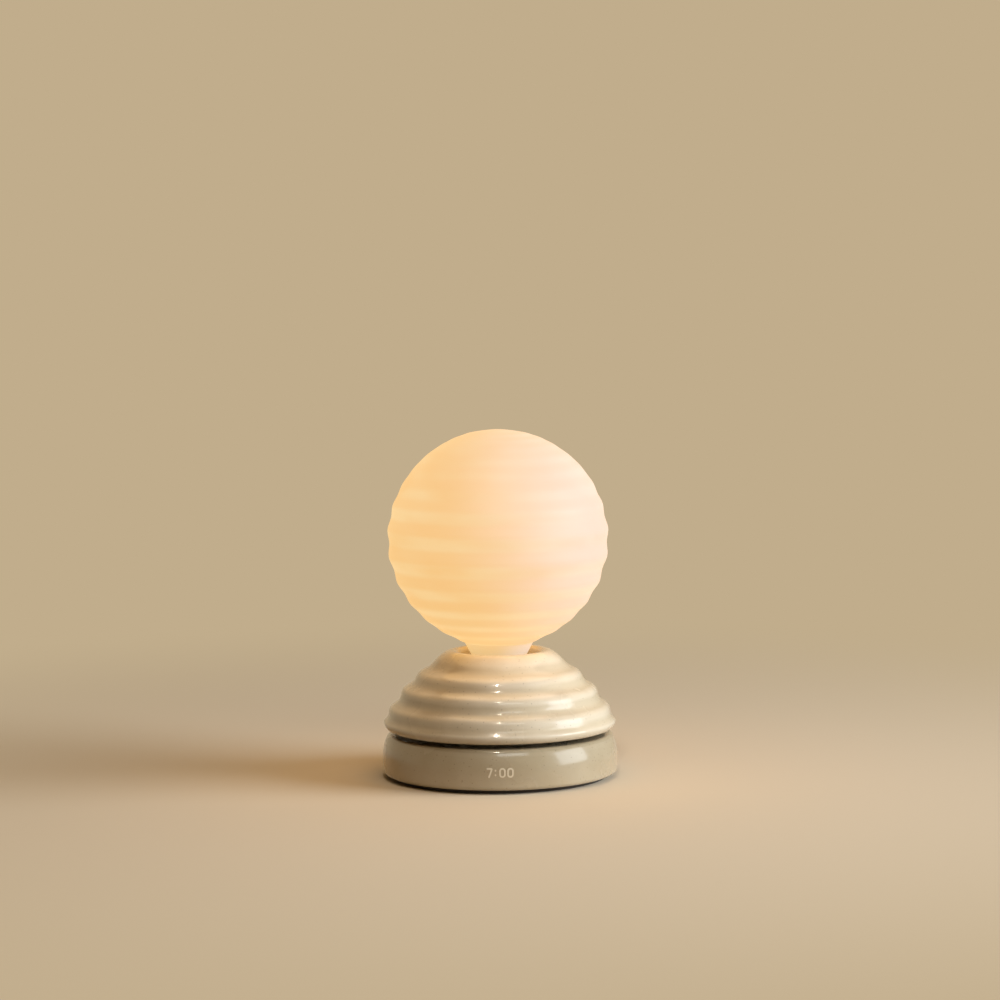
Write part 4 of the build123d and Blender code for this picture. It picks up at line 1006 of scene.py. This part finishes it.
class WAKELIGHT_OT_springs(bpy.types.Operator):
    """Wind the three return springs with closed ends; the real ones shorten when the dome is pressed, these
    keep one length
    """

    bl_idname = "wakelight.springs"
    bl_label = "Return springs"

    def execute(self, context):
        low, high = corners_of("return_springs")
        wire = spring_wire / 2
        circle = -low.x - spring_radius - wire
        rise = high.z - low.z - spring_wire
        turns = np.linspace(0, spring_coils, spring_coils * 32 + 1)
        # The first and the last coil lie flat on their neighbours
        ends = (0, 1, spring_coils - 1, spring_coils)
        levels = low.z + wire + np.interp(turns, ends, (0, spring_wire, rise - spring_wire, rise))
        sides = np.arange(10) * pi / 5
        vertices, faces = [], []
        for place in spring_places:
            faces += tube_faces(len(vertices), len(turns), len(sides))
            x, y = circle * cos(radians(place)), circle * sin(radians(place))
            for turn, level in zip(2 * pi * turns, levels):
                for side in sides:
                    reach = spring_radius + wire * cos(side)
                    vertices.append((x + reach * cos(turn), y + reach * sin(turn), level + wire * sin(side)))
        springs = piece_from("wound_springs", vertices, faces, 60)
        fit(springs, "base", "spring_steel", made_finish("spring_steel"), "return_springs")
        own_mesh(springs)
        return {"FINISHED"}


class WAKELIGHT_OT_works(bpy.types.Operator):
    """Finish the parts that the CAD model gives: boards, column, speaker and the rest"""

    bl_idname = "wakelight.works"
    bl_label = "Inner works"

    def execute(self, context):
        finishes = {}
        for part in frame["record"]["subparts"]:
            node, slot = frame["nodes"][part["node"]], part["material_slot"]
            if node.hide_render:
                continue
            if slot not in finishes:
                finishes[slot] = made_finish(slot)
            dress(node, finishes[slot])
        return {"FINISHED"}


class WAKELIGHT_OT_studio(bpy.types.Operator):
    """Set the floor and backdrop, the soft lights, the lamp's own light and the camera"""

    bl_idname = "wakelight.studio"
    bl_label = "Studio"

    def execute(self, context):
        settings = context.scene.wakelight_studio
        scene = context.scene
        scene.view_settings.view_transform = "Standard"

        # A seamless paper sweep that rises all round; every 38th point of its arc, 30 mm apart, is enough
        sweep = [(0.0, 0.0), (300.0, 0.0), (900.0, 0.0)] + arc((2300.0, 1500.0), 1500.0, -90, 0)[::38]
        backing = [(3800.0, 3500.0), (3830.0, 3500.0), (3830.0, -30.0), (0.0, -30.0)]
        floor = lathe("studio_floor", sweep + backing)
        dress(floor, paper_floor(settings))

        scene.world = bpy.data.worlds.new("studio_air")
        scene.world.use_nodes = True
        air = scene.world.node_tree.nodes["Background"].inputs
        air["Color"].default_value, air["Strength"].default_value = linear("#cdbfa8"), 0.02

        # Each soft light: azimuth, elevation and distance from a point in the lamp, its width and height in
        # metres, its power, its colour, and whether the glaze mirrors it
        aim = Vector((0, 0, 0.08))
        soft_lights = {
            "window_light": (77, 16.5, 2.6, 1.9, 1.5, settings.key_power, "#f0f9ff", False),
            "window_pane": (77, 17, 2.6, 1.6, 1.4, 19.0, "#f0f9ff", True),
            "back_light": (150, 60, 1.9, 1.2, 1.2, 3.8, "#ffd8a4", False),
            "left_fill": (-60, 65, 1.9, 1.2, 1.2, 4.1, "#ffd38f", False),
            "front_fill": (20, 30, 1.9, 1.2, 1.0, 2.9, "#ffcf8c", False),
            "front_pane": (14, 40, 1.9, 0.9, 0.36, 2.9, "#f6f8f4", True),
            "lamp_glint": (-4.5, 60, 1.5, 0.04, 0.26, 2.9, "#fff0da", True),
        }
        for name, (azimuth, elevation, distance, width, height, power, tint, mirrored) in soft_lights.items():
            light = bpy.data.lights.new(name, "AREA")
            light.shape, light.size, light.size_y = "RECTANGLE", width, height
            light.energy, light.color = power, linear(tint)[:3]
            lamp = add_object(name, light)
            turn, rise = radians(azimuth), radians(elevation)
            toward = Vector((sin(turn) * cos(rise), -cos(turn) * cos(rise), sin(rise)))
            lamp.location = aim + toward * distance
            lamp.rotation_euler = toward.to_track_quat("Z", "Y").to_euler()
            lamp.visible_camera, lamp.visible_glossy = False, mirrored

        # The lit globe gives off more light than its pale skin shows, so a lamp of its size adds it
        glow = bpy.data.lights.new("globe_light", "POINT")
        glow.energy, glow.color, glow.shadow_soft_size = 0.17, linear("#ffb640")[:3], 0.06
        lamp = add_object("globe_light", glow)
        lamp.location = (0, 0, (globe_centre + 25) * MM)
        lamp.visible_camera = lamp.visible_glossy = False
        open_to_light = bpy.data.collections.new("open_to_globe_light")
        open_to_light.objects.link(bpy.data.objects["opal_globe"])
        open_to_light.collection_objects[0].light_linking.link_state = "EXCLUDE"
        lamp.light_linking.blocker_collection = open_to_light
        lamp.light_linking.receiver_collection = open_to_light
        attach(lamp, "shade")

        # The camera of the photograph: 115 mm lens on a 36 mm frame, 1.9 m away, 5 degrees down
        camera = bpy.data.cameras.new("photograph_camera")
        camera.lens, camera.sensor_width, camera.clip_end = 115.2, 36.0, 20.0
        place, down, roll = (0.0014, -1.8893, 0.3293), 4.98, -0.55
        scene.camera = add_object("photograph_camera", camera)
        turned = Matrix.Rotation(radians(90 - down), 4, "X") @ Matrix.Rotation(radians(roll), 4, "Z")
        scene.camera.matrix_world = Matrix.Translation(place) @ turned
        return {"FINISHED"}


OPERATORS = (
    WAKELIGHT_OT_globe, WAKELIGHT_OT_dome, WAKELIGHT_OT_base, WAKELIGHT_OT_display, WAKELIGHT_OT_foot,
    WAKELIGHT_OT_buttons, WAKELIGHT_OT_cloth, WAKELIGHT_OT_springs, WAKELIGHT_OT_works, WAKELIGHT_OT_studio,
)
# Settings by their name in the scene, which is their operator's with an underscore
GROUPS = {
    "wakelight_globe": WakelightGlobeSettings,
    "wakelight_dome": WakelightDomeSettings,
    "wakelight_base": WakelightBaseSettings,
    "wakelight_display": WakelightDisplaySettings,
    "wakelight_studio": WakelightStudioSettings,
}


class WAKELIGHT_PT_sidebar(bpy.types.Panel):
    """The wake-up light's settings and buttons"""

    bl_label = "Wake-up light"
    bl_idname = "WAKELIGHT_PT_sidebar"
    bl_space_type = "VIEW_3D"
    bl_region_type = "UI"
    bl_category = "Wake-up light"

    def draw(self, context):
        for operator in OPERATORS:
            box = self.layout.box()
            group = operator.bl_idname.replace(".", "_")
            if group in GROUPS:
                for name in GROUPS[group].__annotations__:
                    box.prop(getattr(context.scene, group), name)
            box.operator(operator.bl_idname)


def register():
    """Register the settings, the operators and the panel."""
    for name, group in GROUPS.items():
        bpy.utils.register_class(group)
        setattr(bpy.types.Scene, name, bpy.props.PointerProperty(type=group))
    for cls in (*OPERATORS, WAKELIGHT_PT_sidebar):
        bpy.utils.register_class(cls)


def unregister():
    """Take the panel, the operators and the settings out again."""
    for cls in (WAKELIGHT_PT_sidebar, *reversed(OPERATORS)):
        bpy.utils.unregister_class(cls)
    for name, group in GROUPS.items():
        delattr(bpy.types.Scene, name)
        bpy.utils.unregister_class(group)


def main():
    """Build the light."""
    register()
    for operator in OPERATORS:
        getattr(bpy.ops.wakelight, operator.bl_idname.split(".")[1])()


if __name__ == "__main__":
    main()
